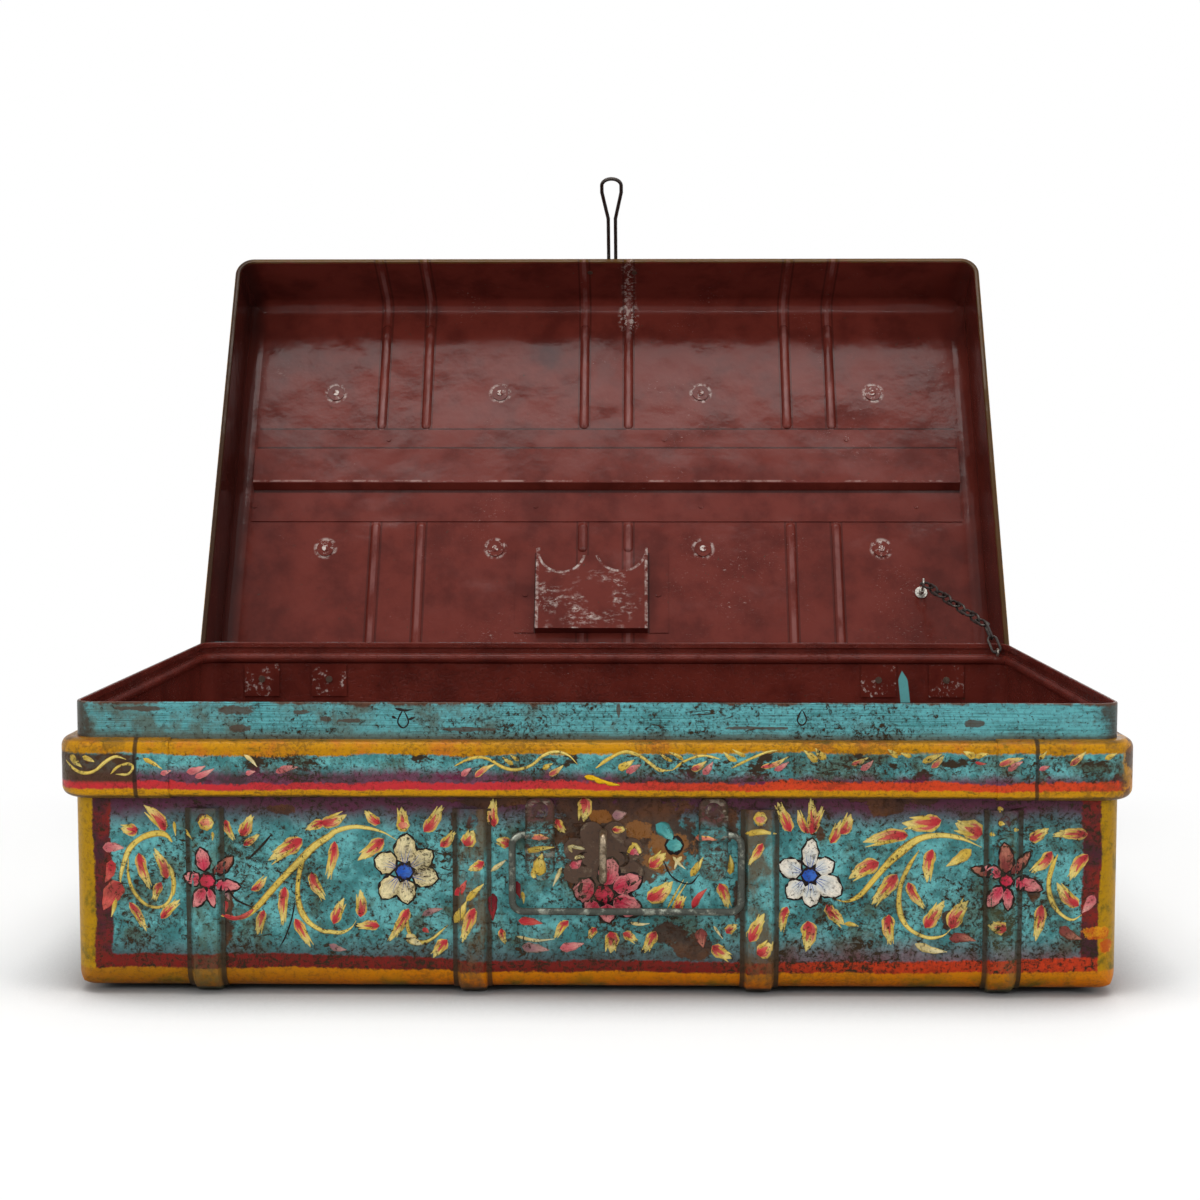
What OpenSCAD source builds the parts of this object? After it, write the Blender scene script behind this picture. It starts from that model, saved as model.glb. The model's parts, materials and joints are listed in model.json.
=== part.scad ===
// Painted sheet metal trunk, with its lid open and held by a chain.
// X runs across the front, Y from front to back and Z up, in millimetres.
// Base pieces are drawn about the middle of the base. Lid pieces are drawn closed
// and then turned back about the hinge pins.

/* [Sheet metal] */
// Thickness of the sheet
sheet = 0.9; // [0.8:0.1:1.2]

/* [Base] */
// Width of the neck that the lid fits over
neck_w = 620; // [560:5:700]
// Depth of the neck from front to back
neck_d = 360; // [320:5:420]
// Height from the ground to the top of the neck
neck_top = 176; // [160:1:220]
// Height of the neck above the rim band
neck_rise = 22; // [18:1:28]
// Radius of the body's corners and lower edges
body_r = 15; // [10:1:20]
// How far the neck's strip reaches down inside the body
collar_h = 46; // [40:1:60]
// Radius of the half-round bead inside the neck
collar_bead_r = 4; // [3:0.5:4.5]
// How far that bead stands inwards
collar_bead_out = 3; // [2:0.5:3]
// Height of the bead's middle below the neck's top
collar_bead_drop = 12.5; // [11:0.5:14]
// Thickness of the folded lip along the neck's top
lip_t = 2.2; // [1.8:0.1:2.6]
// Height of that lip
lip_h = 4; // [3:0.5:5]

/* [Rim band] */
// Height of the hollow band round the body
band_h = 34; // [28:1:40]
// How far the band stands out from the neck
band_out = 8.5; // [7:0.5:11]
// Radius of the band's outer edges
band_r = 5; // [3:0.5:6]
// Length of a corner cap along each side
cap_leg = 45; // [30:1:60]

// Length of the right front cap along the front
cap_front_right = 60; // [30:1:70]

// Length of its leg along the back, beside a hinge
cap_back = 20; // [12:1:22]

/* [Straps] */
// Width of a strap
strap_w = 23; // [18:1:30]
// Height of a strap's raised middle
strap_h = 3; // [2.4:0.1:4]
// Width of the flat edge on each side of a strap
strap_edge = 3; // [2:0.5:4]
// Places of the body's straps, as shares of the neck's width
strap_share = [-0.3735, -0.1175, 0.1575, 0.389];
// Places of the lid's straps, as shares of the neck's width
lid_strap_share = [-0.377, -0.148, 0.131, 0.37];
// Gap between the band and the top of a body strap
strap_top_gap = 7; // [4:1:14]
// Distance of a strap's rivet from the strap's top
strap_rivet_in = 7; // [6:0.5:12]

/* [Lid] */
// Gap between the neck and the lid's wall
lid_gap = 1.5; // [1.3:0.1:2]
// Depth of the lid
lid_h = 69; // [60:1:90]
// Radius of the lid's corners and top edges
lid_r = 12; // [9:0.5:16]
// Radius of the rolled edge
hem_r = 2.2; // [1.8:0.1:2.4]
// Angle that the lid stands open
open_angle = 118; // [100:1:120]
// Gap below the closed lid
seat_gap = 0.3; // [0.3:0.1:1]
// Distance of the side belts from the middle, as a share of the neck's width
belt_share = 0.28;
// Distance between the two beads of a belt
belt_w = 38; // [30:1:46]
// Radius of a pressed bead
bead_r = 5; // [4:0.5:6]
// How far a bead stands into the lid
bead_h = 2; // [1.5:0.1:2.5]
// Distance of the beads' ends from the skirt
bead_in = 26; // [22:1:34]
// Distance of the lid's front row of rivets from the middle
rivet_row_front = 92; // [84:1:110]
// Distance of the lid's back row of rivets from the middle
rivet_row_back = 56; // [50:1:80]

/* [Stiffener] */
// Width of the raised middle
stiff_crown = 40; // [34:1:48]
// Height of the raised middle
stiff_h = 8; // [6:0.5:10]
// Width of the front flange
stiff_front = 18; // [12:1:22]
// Width of the back flange
stiff_back = 29; // [20:1:32]
// Distance of the raised middle in front of the lid's middle
stiff_y = 18; // [10:1:30]
// Distance between the stiffener's end and the lid's side
stiff_in = 14; // [12:1:30]

/* [Pocket] */
// Width of the pocket
pocket_w = 92; // [80:1:110]
// Height of the pocket
pocket_l = 72; // [60:1:80]
// Depth of the pocket
pocket_out = 11; // [9:0.5:16]
// Width of the side flanges
pocket_flange = 18; // [14:1:24]
// Distance of the pocket to the left of the lid's middle
pocket_x = 11; // [0:1:20]
// Distance of the pocket's mouth behind the lid's middle
pocket_y = 60; // [56:1:70]
// Radius of the scallops in the pocket's edge
scallop_r = 18; // [14:0.5:20]

/* [Hinges] */
// Distance of a hinge from the middle, as a share of the neck's width
hinge_share = 0.384;
// Width of a hinge
hinge_w = 70; // [60:1:90]
// Thickness of a leaf
leaf_t = 1.2; // [1:0.1:1.4]
// Height of a leaf from the pin
leaf_h = 30; // [26:1:34]
// Number of knuckles in a hinge
knuckles = 5; // [3:2:7]
// Outer radius of a knuckle
knuckle_r = 3.1; // [2.9:0.1:3.4]
// Radius of the hinge pin
pin_r = 1.6; // [1.4:0.1:1.8]
// Distance between a hinge's two rivets
hinge_rivets = 52; // [44:1:60]
// Width of a backing plate
plate_w = 27; // [20:1:32]
// Height of a backing plate
plate_h = 25; // [20:1:26]

/* [Lock] */
// Distance of the lock to the right of the middle
lock_x = 5; // [0:1:12]
// Height of the lock plate's middle
lock_z = 82; // [70:1:84]
// Radius of the lock plate's round middle
lock_r = 19; // [16:0.5:22]
// Thickness of the lock plate
lock_t = 1.2; // [1:0.1:1.6]
// Number of scallops round the lock plate
lock_scallops = 8; // [6:1:10]
// Radius of the staple's wire
staple_r = 2.25; // [1.8:0.05:2.4]
// Distance between the staple's legs
staple_h = 26; // [22:1:27]
// How far the staple stands out from the plate
staple_out = 18; // [16:0.5:22]
// Radius of the hasp's wire
hasp_r = 1.5; // [1.3:0.1:1.7]
// Radius of the hasp's round end, to the middle of the wire
hasp_eye_r = 7.9; // [7:0.1:9]
// Length of the straight sides of the hasp's eye
hasp_eye_l = 8; // [4:1:12]
// Height of the middle of the eye's round end below the lock plate's middle
hasp_eye_low = 8.5; // [7:0.5:10]
// Distance between the hasp's two shanks
hasp_gap = 6; // [5.5:0.5:7]
// Height of the hasp's pin above the rim band
hasp_pin_up = 12; // [10:0.5:14]
// Height over which the shanks step out over the band
hasp_drop = 9.5; // [8:0.5:12]
// Height over which the shanks widen into the eye
hasp_flare = 32; // [26:1:36]
// Angle at which the hasp rests away from the lid
hasp_lift = 7; // [6:1:12]
// Width of the hasp's plate
hasp_plate_w = 50; // [40:1:60]
// Height of the hasp's plate
hasp_plate_h = 22; // [18:1:26]

/* [Handle] */
// Distance of the handle to the right of the middle
handle_x = 18.8; // [12:0.1:20]
// Distance between the two lugs
lug_span = 102.5; // [90:0.5:106]
// Width of a lug
lug_w = 17.4; // [14:0.2:20]
// Length of a lug
lug_l = 50; // [46:1:56]
// Thickness of a lug
lug_t = 1.5; // [1.2:0.1:1.8]
// Radius of a lug's top corners
lug_corner = 6; // [3:0.5:6.5]
// Radius of the head of a lug's rivet
lug_head = 5; // [3.5:0.1:5.5]
// Height of the bail's pivot below the band
bail_drop = 22; // [20:1:28]
// Radius of the bail's wire
bail_r = 2.1; // [1.8:0.1:2.4]
// Width of the bail between the middles of its legs
bail_w = 135.3; // [128:0.1:138]
// Length of the bail from its pivot
bail_l = 46; // [44:1:52]
// Radius of the bail's bends
bail_bend = 6.5; // [5:0.5:7]

/* [Chain] */
// Radius of the chain's wire
link_r = 0.95; // [0.8:0.05:1]
// Outer width of a link
link_w = 8.6; // [8.2:0.1:9]
// Distance of the chain's eye from the neck's right side
eye_in = 8.5; // [8:0.5:12]
// Distance of the chain's eye from the neck's back
eye_back = 11; // [10:0.5:12]
// Distance of the chain's eye below the neck's top
eye_drop = 6.2; // [6:0.1:6.8]
// Angle at which the first links rise over the neck
first_angle = 65; // [62:1:70]
// Distance of the lid's hook from the middle
hook_x = 260; // [250:1:270]
// Distance of the lid's hook behind the middle
hook_y = 93; // [86:1:96]
// Distance of the hook's bend below the lid's panel
hook_drop = 14.3; // [12:0.1:16]

/* [Rivets] */
// Radius of a small rivet's shank
rivet_r = 1.6; // [1.3:0.1:1.9]
// Radius of a small rivet's head
head_r = 3.4; // [3:0.1:4]
// Height of a rivet's head
head_h = 1.5; // [1:0.1:2]
// Radius of a burr washer
washer_r = 7; // [6:0.1:8]
// Thickness of a burr washer
washer_t = 1; // [0.8:0.1:1.4]

/* [Fits] */
// Radial clearance of a pin that turns in its bore
pin_fit = 0.05; // [0.02:0.01:0.08]
// Clearance between pieces that pass each other
pass = 0.4; // [0.35:0.05:0.5]
// Clearance between two chain links
link_gap = 0.3; // [0.3:0.05:0.4]

/* [Hidden] */
$fn = 48;
eps = 0.01;
ball_extra = 0.05;

body_w = neck_w + 2 * sheet;
body_d = neck_d + 2 * sheet;
neck_r = body_r - sheet;
band_top = neck_top - neck_rise;
band_low = band_top - band_h;
wall_top = band_top - sheet;
strap_top = band_low - strap_top_gap;
strap_crown = strap_w - 2 * strap_edge;
strap_slope = strap_h / 2;

lid_w = neck_w + 2 * (lid_gap + sheet);
lid_d = neck_d + 2 * (lid_gap + sheet);
lid_low = band_top + sheet + seat_gap;
lid_top = lid_low + lid_h;
panel_z = lid_top - sheet;
hem_x = hem_r - lid_gap;

hinge_x = hinge_share * neck_w;
hinge_y = neck_d / 2 + band_out + leaf_t - knuckle_r;
hinge_z = band_top + knuckle_r + seat_gap;
knuckle_l = hinge_w / knuckles;
hinge_rivet_z = hinge_z - leaf_h / 3;
plate_low = neck_top - collar_bead_drop - collar_bead_r - pass - plate_h;

// The furthest points of the open part set the middle of its footprint
lid_corner_y = hinge_y + (-lid_d / 2 + lid_r - hinge_y) * cos(open_angle)
    + (lid_top - lid_r - hinge_z) * sin(open_angle);
back_y = lid_corner_y + lid_r + strap_h;
front_y = -(body_d / 2 + lock_t + staple_out);
origin_y = -(front_y + back_y) / 2;

lock_back = body_d / 2;
staple_face = lock_back + lock_t;
bail_y = body_d / 2 + bail_r + pin_fit + 1.4;
bail_z = band_low - bail_drop;
lug_ring_r = bail_r + pin_fit + 1.4;
hasp_ring_r = hasp_r + pin_fit + 1.3;
hasp_y = lid_d / 2 + hasp_ring_r;
hasp_z = band_top + hasp_pin_up;
hasp_step = neck_d / 2 + band_out + hasp_r + 0.6 - hasp_y;
hasp_low = lock_z - hasp_eye_low;

// The chain, in the plane across the trunk, from its eye on the base to its hook on the lid
lap = 2 * link_r + link_gap;
eye_at = [neck_d / 2 - eye_back, neck_top - eye_drop];
eye_x = neck_w / 2 - eye_in;
hook_closed = [hook_y, panel_z - hook_drop];
hinge_at = [hinge_y, hinge_z];
function turn(p, a) = [p[0] * cos(a) - p[1] * sin(a), p[0] * sin(a) + p[1] * cos(a)];
hook_open = hinge_at + turn(hook_closed - hinge_at, -open_angle);
first_dir = [cos(first_angle), sin(first_angle)];
span = hook_open - eye_at;
lap_flat = lap * cos(atan((eye_x - hook_x) / norm(span)));
pairs = 5;
// Length of a pair of links, from the closing of the chain's outline
qa = pow(pairs - 0.5, 2) - 1;
qb = (2 * pairs - 1) * lap_flat + 2 * span * first_dir;
qc = lap_flat * lap_flat - span * span;
pair_run = (-qb + sqrt(qb * qb - 4 * qa * qc)) / (2 * qa);
bend_at = eye_at + pair_run * first_dir;
rest = hook_open - bend_at;
rest_angle = atan2(rest[1], rest[0]);
rest_dir = [cos(rest_angle), sin(rest_angle)];
chain_run = (pairs + 0.5) * pair_run + lap_flat;
tilt = atan((eye_x - hook_x) / chain_run);
pitch = round(500 * pair_run / cos(tilt)) / 1000;
function joint_at(k) = k == 0 ? eye_at : bend_at + (k - 1) * pair_run * rest_dir;
function joint_x(k) = eye_x - 2 * pitch * k * sin(tilt);
echo(hinge = [0, hinge_y + origin_y, hinge_z]);
echo(hasp = [lock_x, -hasp_y, hasp_z], origin_y = origin_y);
echo(bail = [handle_x, -bail_y + origin_y, bail_z]);
for (k = [0:pairs]) echo(chain_joint = k + 1, at = [joint_x(k), joint_at(k)[0] + origin_y, joint_at(k)[1]]);
echo(pitch = pitch, pair_run = pair_run, angles = [first_angle, rest_angle], tilt = tilt);

// Places

module on_base() {
    translate([0, origin_y, 0]) children();
}

module on_lid() {
    translate([0, origin_y + hinge_y, hinge_z])
        rotate([-open_angle, 0, 0])
            translate([0, -hinge_y, -hinge_z]) children();
}

// Turns a piece drawn with its outside up so that it faces front or back
module face_front() {
    rotate([90, 0, 0]) children();
}

module face_back() {
    rotate([-90, 0, 0]) children();
}

// Shapes

module round_rect(w, d, r) {
    square([w - 2 * r, d], center = true);
    square([w, d - 2 * r], center = true);
    for (x = [-1, 1], y = [-1, 1]) translate([x * (w / 2 - r), y * (d / 2 - r)]) circle(r);
}

// A profile with two round lower corners
module bath_profile(w, h, r) {
    translate([-w / 2 + r, 0]) square([w - 2 * r, h]);
    translate([-w / 2, r]) square([w, h - r]);
    for (x = [-1, 1]) translate([x * (w / 2 - r), r]) circle(r);
}

// A solid with round upright corners and round lower edges
module bath(w, d, h, r) {
    intersection() {
        linear_extrude(h) round_rect(w, d, r);
        rotate([90, 0, 0]) linear_extrude(d, center = true) bath_profile(w, h, r);
        rotate([90, 0, 90]) linear_extrude(w, center = true) bath_profile(d, h, r);
    }
}

// The end of a pan, from the start of its corners outwards
module pan_end(w, d, h, r, side) {
    difference() {
        bath(w, d, h, r);
        translate([0, 0, sheet]) bath(w - 2 * sheet, d - 2 * sheet, h, r - sheet);
        translate([side > 0 ? -w : -w / 2 + r, -d, -1]) cube([w + w / 2 - r, 2 * d, h + 2]);
    }
}

// Bends a flat section round a pan from front to back: its x points outwards
module wrap_round(d, r, front_leg, back_leg) {
    rotate([90, 0, 90]) {
        for (side = [0, 1]) mirror([1 - side, 0, 0]) {
            translate([d / 2, r, 0])
                rotate([-90, 0, 0]) linear_extrude((side ? back_leg : front_leg) - r) children();
            translate([d / 2 - r, r, 0])
                rotate([0, 0, -90]) rotate_extrude(angle = 90) translate([r, 0]) children();
        }
        translate([-d / 2 + r, 0, 0])
            rotate([0, 0, -90]) rotate([-90, 0, 0]) linear_extrude(d - 2 * r) children();
    }
}

// Runs a section along one side of a rectangle: its x points outwards and its y up.
// Sides count from the right, anticlockwise.
function half(side) = side % 2 == 0 ? neck_w / 2 : neck_d / 2;

module side_run(side, trim = 0) {
    length = 2 * (half(side + 1) - neck_r - trim);
    rotate([0, 0, 90 * side]) translate([half(side), 0, 0])
        rotate([90, 0, 0]) linear_extrude(length, center = true) children();
}

module corner_run(corner) {
    rotate([0, 0, 90 * corner]) translate([half(corner) - neck_r, half(corner + 1) - neck_r, 0])
        rotate_extrude(angle = 90) translate([neck_r, 0]) children();
}

// A ring of wire in the XY plane, from +X towards +Y
module wire_bend(bend, r, angle = 90) {
    rotate_extrude(angle = angle) translate([bend, 0]) circle(r);
}

module rod(from, to, r) {
    way = to - from;
    translate(from)
        rotate([0, acos(way[2] / norm(way)), atan2(way[1], way[0])]) cylinder(h = norm(way), r = r);
}

// Straight rods with a ball at each point after the first
module kinked_wire(points, r) {
    for (i = [1:len(points) - 1]) {
        rod(points[i - 1], points[i], r);
        translate(points[i]) sphere(r + ball_extra);
    }
}

// A rivet with its domed head up and its grip below the origin
module rivet(grip, r = rivet_r, head = head_r, high = head_h) {
    ball = (head * head + high * high) / (2 * high);
    intersection() {
        translate([0, 0, high - ball]) sphere(ball);
        cylinder(h = high, r = head);
    }
    translate([0, 0, -grip]) cylinder(h = grip, r = r);
    translate([0, 0, -grip - high / 2]) cylinder(h = high / 2, r = head * 0.75);
}

module hole(depth, r = rivet_r) {
    translate([0, 0, -depth]) cylinder(h = 2 * depth, r = r + pin_fit);
}

module ring(outer, inner, length) {
    rotate([0, 90, 0]) difference() {
        cylinder(h = length, r = outer, center = true);
        cylinder(h = length + 2, r = inner, center = true);
    }
}

// Sections

module sheet_section(width) {
    translate([-sheet, -width / 2]) square([sheet, width]);
}

// Shallow hat: x is the height above the sheet, y runs across
module strap_section() {
    h = strap_h;
    e = strap_w / 2;
    c = strap_crown / 2;
    s = strap_slope;
    polygon([
        [0, -e], [sheet, -e], [sheet, -c], [h, -c + s], [h, c - s], [sheet, c],
        [sheet, e], [0, e], [0, c - s], [h - sheet, c - 2 * s], [h - sheet, -c + 2 * s], [0, -c + s]
    ]);
}

module band_shape(grow) {
    r = band_r + grow;
    out = band_out + grow;
    translate([0, -grow]) square([out - r, band_h + 2 * grow]);
    translate([0, r - grow]) square([out, band_h + 2 * grow - 2 * r]);
    for (y = [r - grow, band_h + grow - r]) translate([out - r, y]) circle(r);
}

module band_section() {
    difference() {
        band_shape(0);
        translate([0, sheet]) square([band_out - band_r, band_h - 2 * sheet]);
        translate([0, band_r]) square([band_out - sheet, band_h - 2 * band_r]);
        for (y = [band_r, band_h - band_r]) translate([band_out - band_r, y]) circle(band_r - sheet);
        translate([-1, -1]) square([1 + sheet, band_h + 1 - sheet]);
        translate([-10, -10]) square([10, band_h + 20]);
    }
}

module cap_section() {
    difference() {
        band_shape(sheet);
        band_shape(0);
        translate([-1, -10]) square([1 + sheet, 10 + sheet]);
        translate([-10, -10]) square([10, band_h + 20]);
    }
}

module neck_section() {
    translate([-sheet, neck_top - collar_h]) square([sheet, collar_h - lip_t / 2]);
    translate([-lip_t, neck_top - lip_h]) square([lip_t, lip_h - lip_t / 2]);
    translate([-lip_t / 2, neck_top - lip_t / 2]) circle(lip_t / 2);
    intersection() {
        translate([-sheet - collar_bead_out + collar_bead_r, neck_top - collar_bead_drop])
            circle(collar_bead_r);
        translate([-sheet - collar_bead_out, 0]) square([collar_bead_out + sheet / 2, neck_top]);
    }
}

// Shared fixing places

module at_hinge_rivets(z) {
    for (side = [-1, 1], end = [-1, 1])
        translate([side * hinge_x + end * hinge_rivets / 2, 0, z]) children();
}

module at_lugs() {
    for (side = [-1, 1]) translate([handle_x + side * lug_span / 2, 0, 0]) children();
}

module at_body_strap_rivets() {
    for (share = strap_share) translate([share * neck_w, 0, strap_top - strap_rivet_in]) {
        translate([0, -body_d / 2 - strap_h, 0]) face_front() children();
        translate([0, body_d / 2 + strap_h, 0]) face_back() children();
    }
}

module at_lid_strap_rivets() {
    for (share = lid_strap_share, y = [-rivet_row_front, rivet_row_back])
        translate([share * neck_w, y, 0]) children();
}

module at_lock_rivets() {
    for (x = [-1, 1]) translate([lock_x + x * (lock_r - 4.5), 0, lock_z + lock_r * 0.55]) children();
    translate([lock_x, 0, lock_z - lock_r - 1]) children();
}

module at_staple_legs() {
    for (z = [-1, 1]) translate([lock_x, 0, lock_z + 4 + z * staple_h / 2]) children();
}

module at_stiffener_rivets() {
    for (x = [-0.477, -0.095, 0.129, 0.42])
        translate([x * neck_w, -stiff_y + stiff_crown / 2 + stiff_back / 2, 0]) children();
    for (x = [-0.3, 0.08, 0.33])
        translate([x * neck_w, -stiff_y - stiff_crown / 2 - stiff_front / 2, 0]) children();
}

module at_pocket_rivets() {
    for (side = [-1, 1])
        translate([-pocket_x + side * (pocket_w + pocket_flange) / 2, pocket_y + pocket_l * 0.52, 0])
            children();
}

module at_hasp_rivets() {
    for (side = [-1, 1])
        translate([lock_x + side * (hasp_plate_w / 2 - 6), 0, hasp_z + hasp_plate_h / 2 - 5]) children();
}

// Base

module body_wrap() {
    depth = 4 * sheet;
    color("turquoise") on_base() difference() {
        translate([0, 0, strap_h])
            wrap_round(body_d, body_r, wall_top - strap_h, wall_top - strap_h)
                sheet_section(body_w - 2 * body_r);
        at_body_strap_rivets() hole(strap_h + depth);
        translate([0, -lock_back, 0]) {
            at_lock_rivets() face_front() hole(depth);
            at_staple_legs() face_front() hole(depth, staple_r);
            at_lugs() translate([0, 0, band_low - 8]) face_front() hole(depth);
        }
        translate([0, body_d / 2, 0]) at_hinge_rivets(hinge_rivet_z) face_back() hole(depth);
    }
}

module end_panel_left() {
    color("turquoise") on_base() translate([0, 0, strap_h])
        pan_end(body_w, body_d, wall_top - strap_h, body_r, -1);
}

module end_panel_right() {
    color("turquoise") on_base() translate([0, 0, strap_h])
        pan_end(body_w, body_d, wall_top - strap_h, body_r, 1);
}

module neck_front() {
    color("darkturquoise") on_base() {
        side_run(3) neck_section();
        for (corner = [2, 3]) corner_run(corner) neck_section();
    }
}

module neck_back() {
    color("darkturquoise") on_base() difference() {
        union() {
            side_run(1) neck_section();
            for (corner = [0, 1]) corner_run(corner) neck_section();
        }
        translate([0, neck_d / 2, 0]) {
            at_hinge_rivets(hinge_rivet_z) face_back() hole(2 * lip_t);
            translate([eye_x, 0, eye_at[1]]) face_back() hole(2 * lip_t, link_r);
        }
    }
}

module neck_left() {
    color("darkturquoise") on_base() side_run(2) neck_section();
}

module neck_right() {
    color("darkturquoise") on_base() side_run(0) neck_section();
}

module rim_band_front() {
    color("goldenrod") on_base() translate([0, 0, band_low]) side_run(3) band_section();
}

module rim_band_back() {
    color("goldenrod") on_base() difference() {
        translate([0, 0, band_low]) side_run(1) band_section();
        translate([0, neck_d / 2 + band_out, 0]) at_hinge_rivets(hinge_rivet_z) face_back() hole(band_out);
    }
}

module rim_band_left() {
    color("goldenrod") on_base() translate([0, 0, band_low]) side_run(2) band_section();
}

module rim_band_right() {
    color("goldenrod") on_base() translate([0, 0, band_low]) side_run(0) band_section();
}

module rim_corner_caps() {
    color("gold") on_base() translate([0, 0, band_low]) for (corner = [0:3]) {
        corner_run(corner) cap_section();
        for (side = [corner, corner + 1]) {
            along = half(side + 1) - neck_r;
            leg = side == 1 ? cap_back : side == 3 && corner == 3 ? cap_front_right : cap_leg;
            rotate([0, 0, 90 * side]) translate([half(side), side == corner ? along : leg - along, 0])
                rotate([90, 0, 0]) linear_extrude(leg) cap_section();
        }
    }
}

module body_strap(i) {
    color("darkturquoise") on_base() difference() {
        translate([strap_share[i] * neck_w, 0, strap_h])
            wrap_round(body_d, body_r, strap_top - strap_h, strap_top - strap_h) strap_section();
        at_body_strap_rivets() hole(2 * strap_h);
    }
}

module body_strap_1() {
    body_strap(0);
}

module body_strap_2() {
    body_strap(1);
}

module body_strap_3() {
    body_strap(2);
}

module body_strap_4() {
    body_strap(3);
}

module body_strap_rivets() {
    color("saddlebrown") on_base() at_body_strap_rivets() rivet(strap_h + sheet, head = 4, high = 1.8);
}

module lug_outline() {
    tongue = lug_w / 2;
    top = band_low - 0.5;
    low = band_low - lug_l + tongue;
    translate([-tongue, low]) square([lug_w, top - lug_corner - low]);
    translate([lug_corner - tongue, low]) square([lug_w - 2 * lug_corner, top - low]);
    for (side = [-1, 1]) translate([side * (tongue - lug_corner), top - lug_corner]) circle(lug_corner);
    translate([0, low]) circle(tongue);
}

module lug() {
    difference() {
        union() {
            rotate([90, 0, 0]) linear_extrude(lug_t) lug_outline();
            translate([0, body_d / 2 - bail_y, bail_z]) rotate([0, 90, 0])
                cylinder(h = lug_w, r = lug_ring_r, center = true);
        }
        translate([0, body_d / 2 - bail_y, bail_z]) rotate([0, 90, 0])
            cylinder(h = lug_w + 2, r = bail_r + pin_fit, center = true);
        translate([0, 0, band_low - 8]) face_front() hole(2 * lug_t);
    }
}

module handle_lugs() {
    color("darkturquoise") on_base() translate([0, -body_d / 2, 0]) at_lugs() lug();
}

module lug_rivets() {
    color("saddlebrown") on_base() translate([0, -body_d / 2 - lug_t, band_low - 8])
        at_lugs() face_front() rivet(lug_t + sheet, head = lug_head, high = 1.7);
}

module bail_handle() {
    leg = bail_w / 2;
    pin_in = leg - lug_span / 2 + lug_w / 2 - 2;
    color("darkturquoise") on_base() translate([handle_x, -bail_y, bail_z]) {
        for (side = [0, 1]) mirror([side, 0, 0]) {
            translate([leg - pin_in, 0, 0]) rotate([0, 90, 0]) cylinder(h = pin_in - bail_bend, r = bail_r);
            translate([leg - bail_bend, 0, -bail_bend]) rotate([90, 0, 0]) wire_bend(bail_bend, bail_r);
            translate([leg, 0, -bail_l + bail_bend]) cylinder(h = bail_l - 2 * bail_bend, r = bail_r);
            translate([leg - bail_bend, 0, -bail_l + bail_bend])
                rotate([-90, 0, 0]) wire_bend(bail_bend, bail_r);
        }
        translate([0, 0, -bail_l]) rotate([0, 90, 0])
            cylinder(h = 2 * (leg - bail_bend), r = bail_r, center = true);
    }
}

module lock_outline() {
    step = 360 / lock_scallops;
    scallop = lock_r * 0.36;
    difference() {
        union() {
            circle(lock_r);
            for (i = [0:lock_scallops - 1])
                rotate(step * (i + 0.5)) translate([lock_r - 1, 0]) circle(scallop);
        }
        for (side = [-1, 1]) translate([side * lock_r * 0.58, 1]) difference() {
            circle(lock_r * 0.24);
            translate([-side * lock_r * 0.13, 0]) circle(lock_r * 0.22);
        }
    }
}

module lock_plate() {
    color("saddlebrown") on_base() difference() {
        translate([lock_x, -lock_back, lock_z]) rotate([90, 0, 0]) linear_extrude(lock_t) lock_outline();
        translate([0, -lock_back, 0]) {
            at_lock_rivets() face_front() hole(2 * lock_t);
            at_staple_legs() face_front() hole(2 * lock_t, staple_r);
        }
    }
}

module lock_plate_rivets() {
    color("saddlebrown") on_base() translate([0, -staple_face, 0])
        at_lock_rivets() face_front() rivet(lock_t + sheet, head = 2.6, high = 1);
}

module lock_staple() {
    bend = 4;
    reach = staple_out - staple_r;
    color("saddlebrown") on_base() translate([lock_x, -staple_face, lock_z + 4]) {
        for (side = [0, 1]) mirror([0, 0, side]) {
            translate([0, lock_t + sheet + 1.5, staple_h / 2])
                rotate([90, 0, 0]) cylinder(h = lock_t + sheet + 1.5 + reach - bend, r = staple_r);
            translate([0, -reach + bend, staple_h / 2 - bend])
                rotate([0, -90, 0]) rotate([0, 0, -90]) wire_bend(bend, staple_r);
        }
        translate([0, -reach, 0]) cylinder(h = staple_h - 2 * bend, r = staple_r, center = true);
    }
}

// Hinges: the lower leaf has the odd knuckles and the upper leaf has the even ones

function knuckle_x(i) = -hinge_w / 2 + (i + 0.5) * knuckle_l;

module hinge_lower_leaves() {
    face = neck_d / 2 + band_out;
    color("silver") on_base() for (side = [-1, 1]) translate([side * hinge_x, 0, 0]) difference() {
        union() {
            translate([-hinge_w / 2, face, hinge_z - leaf_h]) cube([hinge_w, leaf_t, leaf_h]);
            for (i = [0:2:knuckles - 1]) translate([knuckle_x(i), hinge_y, hinge_z])
                rotate([0, 90, 0]) cylinder(h = knuckle_l - pass, r = knuckle_r, center = true);
        }
        translate([0, hinge_y, hinge_z]) rotate([0, 90, 0])
            cylinder(h = hinge_w + 2, r = pin_r + pin_fit, center = true);
        for (i = [1:2:knuckles - 1]) translate([knuckle_x(i), face, hinge_z])
            cube([knuckle_l + pass, 4 * leaf_t, 2 * (knuckle_r + pass)], center = true);
        for (end = [-1, 1]) translate([end * hinge_rivets / 2, face, hinge_rivet_z]) face_back() hole(2 * leaf_t);
    }
}

module hinge_pins() {
    color("silver") on_base() for (side = [-1, 1]) translate([side * hinge_x, hinge_y, hinge_z])
        rotate([0, 90, 0]) cylinder(h = hinge_w, r = pin_r, center = true);
}

module hinge_lower_rivets() {
    color("silver") on_base() translate([0, neck_d / 2 + band_out + leaf_t, 0])
        at_hinge_rivets(hinge_rivet_z) face_back() rivet(leaf_t + band_out + sheet + leaf_t);
}

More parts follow.
